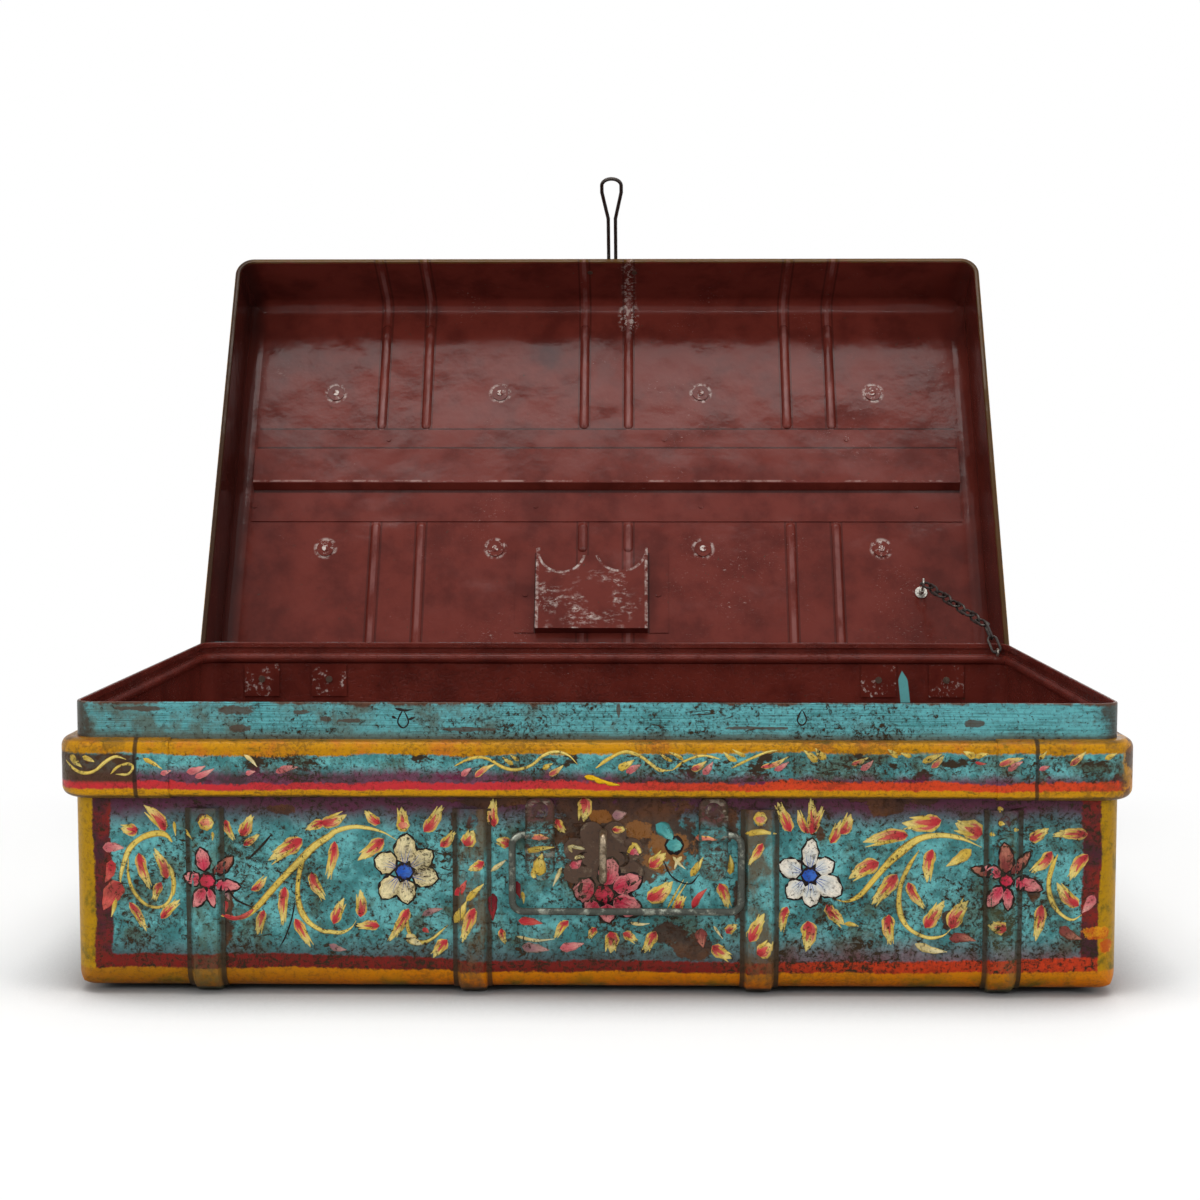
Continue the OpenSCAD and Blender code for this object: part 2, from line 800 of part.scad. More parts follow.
module hinge_backing_plates() {
    color("sienna") on_base() translate([0, neck_d / 2 - sheet, 0]) difference() {
        at_hinge_rivets(plate_low) translate([-plate_w / 2, -leaf_t, 0]) cube([plate_w, leaf_t, plate_h]);
        at_hinge_rivets(hinge_rivet_z) face_back() hole(3 * leaf_t);
    }
}

module hinge_upper_leaves() {
    wall = lid_d / 2;
    arm = hinge_y - wall;
    color("silver") on_lid() for (side = [-1, 1]) translate([side * hinge_x, 0, 0]) difference() {
        union() {
            translate([-hinge_w / 2, wall, hinge_z + knuckle_r + pass])
                cube([hinge_w, leaf_t, leaf_h - knuckle_r - pass]);
            for (i = [1:2:knuckles - 1]) translate([knuckle_x(i), 0, hinge_z]) {
                translate([0, hinge_y, 0]) rotate([0, 90, 0])
                    cylinder(h = knuckle_l - pass, r = knuckle_r, center = true);
                translate([-(knuckle_l - pass) / 2, wall, 0]) cube([knuckle_l - pass, arm, knuckle_r]);
                translate([-(knuckle_l - pass) / 2, wall, 0]) cube([knuckle_l - pass, leaf_t, 2 * knuckle_r]);
            }
        }
        translate([0, hinge_y, hinge_z]) rotate([0, 90, 0])
            cylinder(h = hinge_w + 2, r = pin_r + pin_fit, center = true);
        for (end = [-1, 1]) translate([end * hinge_rivets / 2, wall, hinge_z + leaf_h * 0.6])
            face_back() hole(2 * leaf_t);
    }
}

module hinge_upper_rivets() {
    color("silver") on_lid() translate([0, lid_d / 2 + leaf_t, 0])
        at_hinge_rivets(hinge_z + leaf_h * 0.6) face_back() rivet(leaf_t + sheet);
}

// Lid

// The rolled edge: x points out of the lid's wall
module hem_section() {
    translate([hem_x, hem_r]) circle(hem_r);
}

module lid_hem(side_only) {
    half_w = lid_w / 2;
    half_d = lid_d / 2;
    translate([0, 0, lid_low]) {
        for (side = [0:3]) {
            across = side % 2 == 0 ? half_d : half_w;
            rotate([0, 0, 90 * side]) translate([side % 2 == 0 ? half_w : half_d, 0, 0])
                rotate([90, 0, 0]) linear_extrude(2 * (across - lid_r), center = true) hem_section();
        }
        for (corner = [0:3]) rotate([0, 0, 90 * corner])
            translate([
                (corner % 2 == 0 ? half_w : half_d) - lid_r,
                (corner % 2 == 0 ? half_d : half_w) - lid_r, 0
            ])
                rotate_extrude(angle = 90) translate([lid_r, 0]) hem_section();
    }
}

// One pressed bead, from front to back under the panel
module bead(x, from, to, r) {
    translate([x, 0, panel_z + bead_r - bead_h]) {
        translate([0, from, 0]) rotate([-90, 0, 0]) cylinder(h = to - from, r = r);
        for (y = [from, to]) translate([0, y, 0]) sphere(r);
    }
}

module beads(r) {
    front_end = -lid_d / 2 + bead_in;
    back_end = lid_d / 2 - bead_in;
    stiff_from = -stiff_y - stiff_crown / 2 - stiff_front - bead_r;
    stiff_to = -stiff_y + stiff_crown / 2 + stiff_back + bead_r;
    for (belt = [-1:1], side = [-1, 1]) {
        x = belt * belt_share * neck_w + side * belt_w / 2;
        bead(x, front_end, stiff_from, r);
        bead(x, stiff_to, belt == 0 ? pocket_y - bead_r : back_end, r);
    }
}

module lid_wrap() {
    flat = lid_w - 2 * lid_r;
    color("firebrick") on_lid() difference() {
        union() {
            translate([0, 0, lid_top]) mirror([0, 0, 1])
                wrap_round(lid_d, lid_r, lid_h, lid_h) sheet_section(flat);
            intersection() {
                lid_hem();
                translate([-flat / 2, -lid_d, 0]) cube([flat, 2 * lid_d, lid_top]);
                union() {
                    translate([-lid_w, -2 * lid_d, 0]) cube([2 * lid_w, 2 * lid_d, lid_top]);
                    for (side = [-1, 1]) translate([side * (hinge_x + hinge_w / 2 + pass + lid_w / 2), 0, 0])
                        translate([-lid_w / 2, 0, 0]) cube([lid_w, lid_d, lid_top]);
                    gap = 2 * (hinge_x - hinge_w / 2 - pass);
                    translate([-gap / 2, 0, 0]) cube([gap, lid_d, lid_top]);
                }
            }
            intersection() {
                beads(bead_r);
                translate([-lid_w / 2, -lid_d / 2, panel_z - bead_r]) cube([lid_w, lid_d, bead_r + eps]);
            }
        }
        beads(bead_r - sheet);
        translate([0, 0, lid_top]) {
            at_lid_strap_rivets() hole(4 * sheet);
            at_stiffener_rivets() hole(4 * sheet);
            at_pocket_rivets() hole(4 * sheet);
            translate([hook_x, hook_y + hook_bend(), 0]) hole(4 * sheet, link_r);
        }
        translate([0, -lid_d / 2, 0]) at_hasp_rivets() face_front() hole(4 * sheet);
        translate([0, lid_d / 2, 0]) at_hinge_rivets(hinge_z + leaf_h * 0.6) face_back() hole(4 * sheet);
    }
}

module lid_end(side) {
    color("firebrick") on_lid() {
        translate([0, 0, lid_top]) mirror([0, 0, 1]) pan_end(lid_w, lid_d, lid_h, lid_r, side);
        intersection() {
            lid_hem();
            translate([side > 0 ? lid_w / 2 - lid_r : -lid_w, -lid_d, 0])
                cube([lid_w / 2 + lid_r, 2 * lid_d, lid_top]);
        }
    }
}

module lid_end_left() {
    lid_end(-1);
}

module lid_end_right() {
    lid_end(1);
}

module lid_strap(i) {
    front_leg = lid_h - 2 * hem_r - 2;
    back_leg = lid_h - leaf_h - knuckle_r - 6;
    color("darkturquoise") on_lid() difference() {
        translate([lid_strap_share[i] * neck_w, 0, lid_top]) mirror([0, 0, 1])
            wrap_round(lid_d, lid_r, front_leg, back_leg) strap_section();
        translate([0, 0, lid_top + strap_h]) at_lid_strap_rivets() hole(2 * strap_h);
    }
}

module lid_strap_1() {
    lid_strap(0);
}

module lid_strap_2() {
    lid_strap(1);
}

module lid_strap_3() {
    lid_strap(2);
}

module lid_strap_4() {
    lid_strap(3);
}

module lid_strap_rivets() {
    color("saddlebrown") on_lid() translate([0, 0, lid_top + strap_h])
        at_lid_strap_rivets() rivet(strap_h + sheet + washer_t);
}

module burr_washers() {
    color("sienna") on_lid() translate([0, 0, panel_z - washer_t]) difference() {
        at_lid_strap_rivets() cylinder(h = washer_t, r = washer_r);
        at_lid_strap_rivets() hole(2 * washer_t);
    }
}

// Hat section across the lid, drawn from its front edge
module lid_stiffener() {
    length = lid_w - 2 * sheet - 2 * stiff_in;
    c = stiff_crown / 2;
    s = stiff_h / 2;
    t = sheet;
    h = stiff_h;
    color("brown") on_lid() difference() {
        translate([0, -stiff_y, panel_z]) rotate([90, 0, 90]) linear_extrude(length, center = true)
            polygon([
                [-c - stiff_front, 0], [-c - stiff_front, -t], [-c, -t], [-c + s, -h], [c - s, -h], [c, -t],
                [c + stiff_back, -t], [c + stiff_back, 0], [c - t / 2, 0], [c - s - t / 2, -h + t],
                [-c + s + t / 2, -h + t], [-c + t / 2, 0]
            ]);
        translate([0, 0, panel_z]) at_stiffener_rivets() hole(4 * sheet);
    }
}

module stiffener_rivets() {
    color("sienna") on_lid() translate([0, 0, lid_top])
        at_stiffener_rivets() rivet(2 * sheet, head = 3, high = 1.2);
}

// The pocket's front, drawn with its mouth down
module pocket_front() {
    difference() {
        translate([-pocket_w / 2, 0]) square([pocket_w, pocket_l]);
        translate([-pocket_w / 4 - 2, 3]) circle(scallop_r);
        translate([pocket_w / 4 + 1, 0]) circle(scallop_r + 2);
        translate([-pocket_w / 4 - 2, -1]) square([pocket_w / 2 + 3, 8]);
    }
}

module lid_pocket() {
    color("brown") on_lid() translate([-pocket_x, pocket_y, panel_z - pocket_out]) difference() {
        union() {
            linear_extrude(sheet) pocket_front();
            for (side = [0, 1]) mirror([side, 0, 0]) {
                translate([pocket_w / 2 - sheet, 0, 0]) cube([sheet, pocket_l, pocket_out]);
                translate([pocket_w / 2 - sheet, 0, pocket_out - sheet])
                    cube([pocket_flange, pocket_l, sheet]);
            }
            translate([-pocket_w / 2, pocket_l - sheet, 0]) cube([pocket_w, sheet, pocket_out]);
        }
        translate([pocket_x, -pocket_y, pocket_out]) at_pocket_rivets() hole(4 * sheet);
    }
}

module pocket_rivets() {
    color("sienna") on_lid() translate([0, 0, lid_top]) at_pocket_rivets() rivet(2 * sheet);
}

// Hasp

module hasp_plate() {
    wall = lid_d / 2;
    color("sienna") on_lid() difference() {
        union() {
            translate([lock_x - hasp_plate_w / 2, -wall - leaf_t, hasp_z - hasp_ring_r])
                cube([hasp_plate_w, leaf_t, hasp_plate_h]);
            translate([lock_x, -hasp_y, hasp_z]) rotate([0, 90, 0])
                cylinder(h = hasp_gap - 2 * hasp_r - 2 * pass, r = hasp_ring_r, center = true);
        }
        translate([lock_x, -hasp_y, hasp_z]) rotate([0, 90, 0])
            cylinder(h = hasp_gap, r = hasp_r + pin_fit, center = true);
        translate([0, -wall, 0]) at_hasp_rivets() face_front() hole(3 * leaf_t);
        for (side = [-1, 1]) translate([lock_x + side * hasp_gap / 2, -hasp_y, hasp_z])
            rotate([0, 90, 0]) cylinder(h = 2 * hasp_r + 2 * pass, r = hasp_ring_r + pass, center = true);
    }
}

module hasp_rivets() {
    color("sienna") on_lid() translate([0, -lid_d / 2 - leaf_t, 0])
        at_hasp_rivets() face_front() rivet(leaf_t + sheet, head = 3, high = 1.2);
}

// A closed wire: a pin, two shanks that step out over the rim band, and an eye like a drop
module hasp_wire() {
    shank = hasp_gap / 2;
    eye_top = hasp_low + hasp_eye_l - hasp_z;
    eye_low = hasp_low - hasp_z;
    color("dimgray") on_lid() translate([lock_x, -hasp_y, hasp_z]) rotate([-hasp_lift, 0, 0]) {
        rotate([0, 90, 0]) cylinder(h = hasp_gap, r = hasp_r, center = true);
        for (side = [-1, 1]) {
            translate([side * shank, 0, 0]) sphere(hasp_r + ball_extra);
            kinked_wire([
                [side * shank, 0, 0],
                [side * shank, -hasp_step, -hasp_drop],
                [side * shank, -hasp_step, eye_top + hasp_flare],
                [side * hasp_eye_r, -hasp_step, eye_top],
                [side * hasp_eye_r, -hasp_step, eye_low]
            ], hasp_r);
        }
        translate([0, -hasp_step, eye_low]) rotate([-90, 0, 0]) wire_bend(hasp_eye_r, hasp_r, 180);
    }
}

// Chain

function link_bend() = link_w / 2 - link_r;

// A link along X, from the middle of one end's wire to the middle of the other's
module link() {
    bend = link_bend();
    length = pitch + lap;
    for (side = [-1, 1]) translate([bend, side * bend, 0])
        rotate([0, 90, 0]) cylinder(h = length - 2 * bend, r = link_r);
    translate([bend, 0, 0]) rotate([0, 0, 90]) wire_bend(bend, link_r, 180);
    translate([length - bend, 0, 0]) rotate([0, 0, -90]) wire_bend(bend, link_r, 180);
}

// A flat link and an upright link behind it; the last piece is one flat link
module chain_links(k, upright = true) {
    start = joint_at(k - 1);
    angle = k == 1 ? first_angle : rest_angle;
    color("dimgray") on_base() translate([joint_x(k - 1), start[0], start[1]])
        rotate([angle, 0, 0]) rotate([0, 0, 90 + tilt]) {
            link();
            if (upright) translate([pitch, 0, 0]) rotate([90, 0, 0]) link();
        }
}

module chain_links_1() {
    chain_links(1);
}

module chain_links_2() {
    chain_links(2);
}

module chain_links_3() {
    chain_links(3);
}

module chain_links_4() {
    chain_links(4);
}

module chain_links_5() {
    chain_links(5);
}

module chain_links_6() {
    chain_links(6, upright = false);
}

module chain_base_eye() {
    bend = 2 * link_r + 0.5;
    stem = eye_back - bend;
    color("gray") on_base() translate([eye_x, eye_at[0], eye_at[1]]) {
        rotate([0, 90, 0]) wire_bend(bend, link_r, 360);
        translate([0, bend, 0]) rotate([-90, 0, 0]) cylinder(h = stem + 0.9, r = link_r);
        translate([0, bend + stem, 0]) rotate([-90, 0, 0]) cylinder(h = 0.9, r = 2.4);
    }
}

function hook_bend() = 2 * link_r + 0.7;

// An open hook: down from the panel, round under the last link and a little forwards
module chain_lid_hook() {
    bend = hook_bend();
    color("silver") on_lid() translate([hook_x, hook_y, panel_z - hook_drop]) {
        translate([0, bend, 0]) cylinder(h = hook_drop + sheet + 0.9, r = link_r);
        rotate([-90, 0, 90]) wire_bend(bend, link_r);
        translate([0, 0, -bend]) rotate([90, 0, 0]) cylinder(h = 2.5, r = link_r);
        translate([0, bend, hook_drop - 1]) cylinder(h = 1, r = 5);
        for (i = [0:2]) translate([0, bend, hook_drop - 2.2 - i * 1.7]) wire_bend(1.4, 0.8, 360);
        translate([0, bend, hook_drop + sheet]) cylinder(h = 0.9, r = 2.4);
    }
}

body_wrap();
end_panel_left();
end_panel_right();
neck_front();
neck_back();
neck_left();
neck_right();
rim_band_front();
rim_band_back();
rim_band_left();
rim_band_right();
rim_corner_caps();
body_strap_1();
body_strap_2();
body_strap_3();
body_strap_4();
body_strap_rivets();
handle_lugs();
lug_rivets();
bail_handle();
lock_plate();
lock_plate_rivets();
lock_staple();
hinge_lower_leaves();
hinge_lower_rivets();
hinge_backing_plates();
hinge_pins();
lid_wrap();
lid_end_left();
lid_end_right();
lid_strap_1();
lid_strap_2();
lid_strap_3();
lid_strap_4();
lid_strap_rivets();
burr_washers();
lid_stiffener();
stiffener_rivets();
lid_pocket();
pocket_rivets();
hinge_upper_leaves();
hinge_upper_rivets();
hasp_plate();
hasp_rivets();
hasp_wire();
chain_base_eye();
chain_links_1();
chain_links_2();
chain_links_3();
chain_links_4();
chain_links_5();
chain_links_6();
chain_lid_hook();
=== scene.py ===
# %% [markdown]
# # A painted metal trunk
# The trunk is sheet steel: a tray with a rolled band round its rim, a lid with a chain, and a
# wire handle. People paint such trunks by hand, so the shapes are simple and the paint is rich.
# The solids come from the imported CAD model. This lesson adds the paint, the wear and the light.

# %% Load the fixed frame
import functools
import json
import math
import random

import bpy
import numpy as np
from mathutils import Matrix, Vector
from mathutils.bvhtree import BVHTree

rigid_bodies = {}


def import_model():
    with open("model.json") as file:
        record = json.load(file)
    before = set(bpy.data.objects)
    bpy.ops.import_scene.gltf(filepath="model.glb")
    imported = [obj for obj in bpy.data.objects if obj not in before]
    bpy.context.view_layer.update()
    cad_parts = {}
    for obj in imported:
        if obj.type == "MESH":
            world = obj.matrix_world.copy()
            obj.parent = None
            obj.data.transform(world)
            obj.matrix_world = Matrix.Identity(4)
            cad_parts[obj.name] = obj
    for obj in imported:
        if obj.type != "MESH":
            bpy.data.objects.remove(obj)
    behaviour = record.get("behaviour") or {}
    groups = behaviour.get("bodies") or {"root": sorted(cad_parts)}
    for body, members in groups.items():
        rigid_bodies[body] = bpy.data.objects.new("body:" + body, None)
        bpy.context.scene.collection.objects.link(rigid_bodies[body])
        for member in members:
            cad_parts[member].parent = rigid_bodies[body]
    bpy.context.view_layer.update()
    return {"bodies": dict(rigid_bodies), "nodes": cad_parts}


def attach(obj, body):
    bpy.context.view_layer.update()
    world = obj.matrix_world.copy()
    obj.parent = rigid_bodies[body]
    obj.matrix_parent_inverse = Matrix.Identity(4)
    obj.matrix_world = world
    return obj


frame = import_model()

MM = 0.001
NODES = frame["nodes"]
random.seed(7)
print("loaded", len(NODES), "CAD nodes on", len(frame["bodies"]), "bodies")

# %% [markdown]
# ## The trunk's own measures
# Paint that follows a shape needs the shape's numbers. The base is drawn about its own middle,
# and MIDDLE_Y says where that middle stands. The lid is painted as if it were closed, because
# its sides are straight then, so its hinge line and its open angle are kept too.

# %% Measures in millimetres
MIDDLE_Y = -108.743
BODY_HALF = (310.9, 180.9)
NECK_HALF = (310.0, 180.0)
LID_HALF = (312.4, 182.4)
LID_TOP = 224.2
HINGE_YZ = (77.857, 157.4)
OPEN_ANGLE = math.radians(118)
BODY_STRAPS = (-231.57, -72.85, 97.65, 241.18)
LID_STRAPS = (-233.74, -91.76, 81.22, 229.4)


def to_open(point):
    """A point of the closed lid, in mm, at the place where the open lid has it."""
    x, y, z = point
    dy, dz = y - HINGE_YZ[0], z - HINGE_YZ[1]
    c, s = math.cos(OPEN_ANGLE), math.sin(OPEN_ANGLE)
    return Vector((x, HINGE_YZ[0] + dy * c + dz * s, HINGE_YZ[1] - dy * s + dz * c))


print("lid's front rim when open:", [round(v, 1) for v in to_open((0, MIDDLE_Y - 182.4, 155.2))])

# %% [markdown]
# ## Camera and light
# The picture is taken a little above the rim, from 1.4 m, with a long lens, so the front looks
# almost flat. A studio softbox hangs over the trunk. Each lamp is an area light, because a big
# soft source gives enamel its broad, quiet highlights.

# %% Camera
camera_data = bpy.data.cameras.new("studio_camera")
camera_data.lens = 59.029
camera_data.sensor_width = 36
camera = bpy.data.objects.new("studio_camera", camera_data)
camera.location = (0.0209, -1.4401, 0.3258)
camera.rotation_euler = (math.radians(90 - 4.425), 0, math.radians(0.889))
bpy.context.scene.collection.objects.link(camera)
bpy.context.scene.camera = camera
bpy.context.scene.view_settings.view_transform = "Standard"
print("camera lens", camera_data.lens, "mm")


# %% Softboxes
def softbox(name, place, target, size, power):
    lamp = bpy.data.lights.new(name, "AREA")
    lamp.shape = "RECTANGLE"
    lamp.size, lamp.size_y = size
    lamp.energy = power
    lamp.color = (1.0, 0.995, 0.985)
    obj = bpy.data.objects.new(name, lamp)
    obj.location = place
    obj.rotation_euler = (Vector(target) - Vector(place)).to_track_quat("-Z", "Y").to_euler()
    bpy.context.scene.collection.objects.link(obj)


softbox("overhead_softbox", (0.0, -0.40, 1.9), (0, 0, 0.15), (1.4, 0.7), 17)
softbox("left_softbox", (-1.7, -1.7, 1.2), (0, -0.1, 0.15), (0.9, 1.3), 15)
softbox("right_softbox", (1.8, -1.3, 1.1), (0, -0.1, 0.15), (0.8, 1.2), 9)
softbox("back_softbox", (0.3, 2.0, 1.3), (0, 0, 0.2), (1.6, 0.9), 14)
softbox("glint_strip", (0.0, -2.3, 1.45), (0, 0.2, 0.5), (1.4, 0.045), 6)
print("five lamps")

# %% [markdown]
# ## Node helpers
# A material is a tree of small nodes. These helpers add nodes to the tree that is being built and
# join them to others. Outputs can be added and multiplied, so a material reads like a recipe.


# %% Outputs that can be added and multiplied
class Value:
    """An output of a node. Sums, differences and products of it are nodes too."""

    def __init__(self, socket):
        self.socket = socket

    def __add__(self, other):
        return maths("ADD", self, other)

    def __sub__(self, other):
        return maths("SUBTRACT", self, other)

    def __rsub__(self, other):
        return maths("SUBTRACT", other, self)

    def __mul__(self, other):
        return maths("MULTIPLY", self, other)

    def __abs__(self):
        return maths("ABSOLUTE", self)


class Sockets:
    """The sockets of a node. Reading one gives a Value, and setting one links or fills it."""

    def __init__(self, sockets):
        self.sockets = sockets

    def __getitem__(self, key):
        return Value(self.sockets[key])

    def __setitem__(self, key, value):
        if isinstance(value, Value):
            tree.links.new(value.socket, self.sockets[key])
        else:
            self.sockets[key].default_value = value


print("a value and the sockets of a node ready")


# %% Helpers that add nodes
def add(kind, inputs=(), **settings):
    """Adds a node to the present tree and returns its outputs."""
    node = tree.nodes.new("ShaderNode" + kind)
    for key, value in settings.items():
        setattr(node, key, value)
    sockets = Sockets(node.inputs)
    for key, value in dict(inputs).items():
        sockets[key] = value
    return Sockets(node.outputs)


def maths(operation, a, b=0.0, clamp=False):
    return add("Math", {0: a, 1: b}, operation=operation, use_clamp=clamp)[0]


def largest(*values):
    return functools.reduce(lambda a, b: maths("MAXIMUM", a, b), values)


def smallest(*values):
    return functools.reduce(lambda a, b: maths("MINIMUM", a, b), values)


def mixed(factor, low, high):
    """Mixes two numbers."""
    return factor * (high - low) + low


def blend(factor, a, b):
    """Mixes two colours, at the colour sockets of the Mix node."""
    return add("Mix", {0: factor, 6: a, 7: b}, data_type="RGBA")[2]


def noise(where, scale, detail=4.0, rough=0.55, twist=0.0):
    inputs = {"Vector": where, "Scale": scale, "Detail": detail, "Roughness": rough}
    return add("TexNoise", {**inputs, "Distortion": twist})[0]


def ease(value, low, high):
    """0 below low and 1 above high, with a soft step between. Low may be the larger."""
    return add("MapRange", {0: value, 1: low, 2: high}, interpolation_type="SMOOTHSTEP")[0]


def split(vector):
    axes = add("SeparateXYZ", {0: vector})
    return [axes[k] for k in range(3)]


def stretch(where, by):
    return add("VectorMath", {0: where, 1: by}, operation="MULTIPLY")[0]


def how_far(where, centre, scale=(1, 1, 0)):
    """The distance from a centre, with each axis scaled."""
    off = add("VectorMath", {0: where, 1: centre}, operation="SUBTRACT")[0]
    return add("VectorMath", {0: stretch(off, scale)}, operation="LENGTH")["Value"]


print("node helpers ready")

# %% [markdown]
# A colour is chosen as it looks on a screen. An effect that several materials use is a group of
# nodes with named sockets: it is built once, and each material places it with its own values.


# %% Colours and groups
def paint(*colour):
    """A paint colour as seen on a screen (0 to 255), turned into the linear values of a shader."""
    linear = lambda v: v / 12.92 if v <= 0.04045 else ((v + 0.055) / 1.055) ** 2.4
    return tuple(linear(v / 255) for v in colour) + (1.0,)


def group(name, inputs, outputs):
    """Starts a node group with named sockets, and returns it with its inputs and outputs."""
    global tree
    tree = bpy.data.node_groups.new(name, "ShaderNodeTree")
    for direction, sockets in (("INPUT", inputs), ("OUTPUT", outputs)):
        for label, kind in sockets.items():
            tree.interface.new_socket(label, in_out=direction, socket_type="NodeSocket" + kind)
    source, result = tree.nodes.new("NodeGroupInput"), tree.nodes.new("NodeGroupOutput")
    return tree, Sockets(source.outputs), Sockets(result.inputs)


def use(effect, **inputs):
    """Places a group in the present tree and returns its outputs."""
    named = {key.replace("_", " "): value for key, value in inputs.items()}
    return add("Group", named, node_tree=effect)


print("white enamel in a shader:", [round(v, 2) for v in paint(240, 240, 236)])

# %% [markdown]
# ## Shared effects
# **Flaking** is what age does to enamel. It has three sizes of damage: a pepper of pinholes, small
# chips, and olive stains where grime has soaked in. Fine noise makes the marks, and coarse noise
# says where they crowd. All paint on the trunk reads the same noise at the same place, so a chip
# goes through ground and flower alike.

# %% Flaking
flaking, i, o = group(
    "flaking", {"Place": "Vector", "Amount": "Float", "Grain": "Float"},
    {"Chips": "Float", "Haze": "Float", "Stain": "Float"},
)
place = i["Place"]
crowd = noise(place, 22, 3, 0.6)
fine = noise(place, i["Grain"], 6, 0.72, 0.4)
dots = noise(place, i["Grain"] * 1.7, 2, 0.6, 0.2)
long_marks = noise(stretch(place, (0.55, 1.0, 1.5)), 150, 5, 0.7, 1.2)
level = (crowd - 0.5) * 0.34 + i["Amount"]
chips = ease(fine + level, 1.002, 1.035)
marks = ease(long_marks + level, 1.04, 1.09)
pepper = ease(level * 0.6 + dots, 0.8, 0.92)
damage = largest(chips, marks, pepper * 0.72)
o["Chips"] = damage
o["Haze"] = ease(fine + level, 0.8, 1.02)
cloud = noise(place, 38, 6, 0.72, 0.3)
o["Stain"] = ease(crowd * 0.5 + cloud, 0.74, 0.92)
print("flaking group:", len(tree.nodes), "nodes")

# %% [markdown]
# **Stripe** paints a band between two lines. A hand moves a little as it draws a line, so the
# edge wanders with a slow noise.

# %% Hand-drawn stripe
stripe, i, o = group(
    "hand_drawn_stripe",
    {"Place": "Vector", "Position": "Float", "Low": "Float", "High": "Float", "Wander": "Float"},
    {"Stripe": "Float"},
)
place = i["Place"]
slow = noise(place, 17, 3, 0.6) - 0.5
quick = noise(place, 300, 5, 0.72) - 0.5
shake = slow * 7.0 + quick * 4.2
moved = shake * i["Wander"] + i["Position"]
above = ease(moved - i["Low"], -0.7, 0.7)
below = ease(i["High"] - moved, -0.7, 0.7)
o["Stripe"] = above * below
print("stripe group:", len(tree.nodes), "nodes")

# %% [markdown]
# **Bristles** are the fine lines that a brush leaves in thick paint. One noise, stretched along
# the stroke, gives a value that tints the colour and also feeds the bump.

# %% Bristle lines
bristles, i, o = group("bristle_lines", {"Place": "Vector", "Along": "Vector"}, {"Lines": "Float"})
place = i["Place"]
o["Lines"] = noise(stretch(place, i["Along"]), 1, 4, 0.6)
print("bristle group:", len(tree.nodes), "nodes")

# %% [markdown]
# **Dented sheet** is for thin steel that has been knocked for years. Broad noise bends the
# reflections, and a few scuffs show where the enamel was rubbed pale or chipped dark.

# %% Dents and scuffs
dented, i, o = group(
    "dented_sheet", {"Place": "Vector"},
    {"Height": "Float", "Pale": "Float", "Dark": "Float", "Cloud": "Float"},
)
place = i["Place"]
o["Height"] = noise(place, 55, 3, 0.5) * 0.12 + noise(place, 9, 2, 0.5, 0.3)
scuff_area = ease(noise(place, 14, 3, 0.6), 0.53, 0.72)
scuff = ease(noise(stretch(place, (1.0, 1.0, 2.6)), 320, 5, 0.75, 0.8), 0.6, 0.7)
o["Pale"] = scuff * scuff_area
o["Dark"] = ease(noise(place, 260, 5, 0.7), 0.66, 0.71)
o["Cloud"] = noise(place, 30, 6, 0.62)
print("dent group:", len(tree.nodes), "nodes")

# %% [markdown]
# **Which side** tells the painted outside of a sheet from its red-brown inside. Both sides belong
# to one thin solid, so the face's own direction decides: on a wall, outside faces point away from
# the middle. The ramps start only near the walls, so a bead pressed in a panel isn't misread.

# %% Outside or inside of a pan
which_side, i, o = group(
    "which_side",
    {"Place mm": "Vector", "Normal": "Vector", "Half": "Vector", "Closed end": "Float"},
    {"Outside": "Float"},
)
p = split(i["Place mm"])
n = split(i["Normal"])
h = split(i["Half"])
total = n[2] * i["Closed end"]
for axis in (0, 1):
    inset = abs(p[axis]) - (h[axis] - 16.0)
    ramp = maths("MULTIPLY", inset, 0.07, clamp=True) * maths("SIGN", p[axis])
    total = ramp * n[axis] + total
o["Outside"] = ease(total, -0.06, 0.06)
print("side group:", len(tree.nodes), "nodes")

# %% [markdown]
# **Brushed enamel** is how the paint lies: fine strokes, slow waves, and chips that are duller and
# lower than the enamel round them.

# %% Relief of brushed enamel
brushed_enamel, i, o = group(
    "brushed_enamel", {"Place": "Vector", "Chips": "Float"},
    {"Roughness": "Float", "Height": "Float"},
)
place = i["Place"]
strokes = noise(stretch(place, (0.5, 0.5, 1.8)), 420, 3, 0.6)
waves = noise(place, 24, 2, 0.5)
o["Height"] = strokes * 0.22 + waves * 1.2 - i["Chips"] * 0.55
o["Roughness"] = i["Chips"] * 0.3 + (strokes * 0.16 + 0.26)
print("enamel group:", len(tree.nodes), "nodes")

# %% [markdown]
# Four small effects draw spots and lines. A **ragged patch** is a rubbed or chipped area with a
# torn edge. A **ring** lies between two distances from something. A **thin line** is soft,
# where a value passes a place. The **stray stroke** of turquoise is inside the back wall, beside
# the right hinge.

# %% Patches, rings and lines
ragged_patch, i, o = group(
    "ragged_patch",
    {"Place mm": "Vector", "Ragged": "Float", "Centre": "Vector", "Scale": "Vector"},
    {"Patch": "Float"},
)
far = how_far(i["Place mm"], i["Centre"], i["Scale"])
o["Patch"] = ease(i["Ragged"] * 2.6 + far, 1.08, 0.88)

distance_ring, i, o = group(
    "distance_ring",
    {"Distance": "Float", "Start": "Float", "Full": "Float", "Fading": "Float", "End": "Float"},
    {"Ring": "Float"},
)
far = i["Distance"]
o["Ring"] = ease(far, i["Start"], i["Full"]) * ease(far, i["End"], i["Fading"])

thin_line, i, o = group(
    "thin_line", {"Value": "Float", "Where": "Float", "Width": "Float"}, {"Line": "Float"}
)
o["Line"] = ease(abs(i["Value"] - i["Where"]), i["Width"], i["Width"] * 0.35)

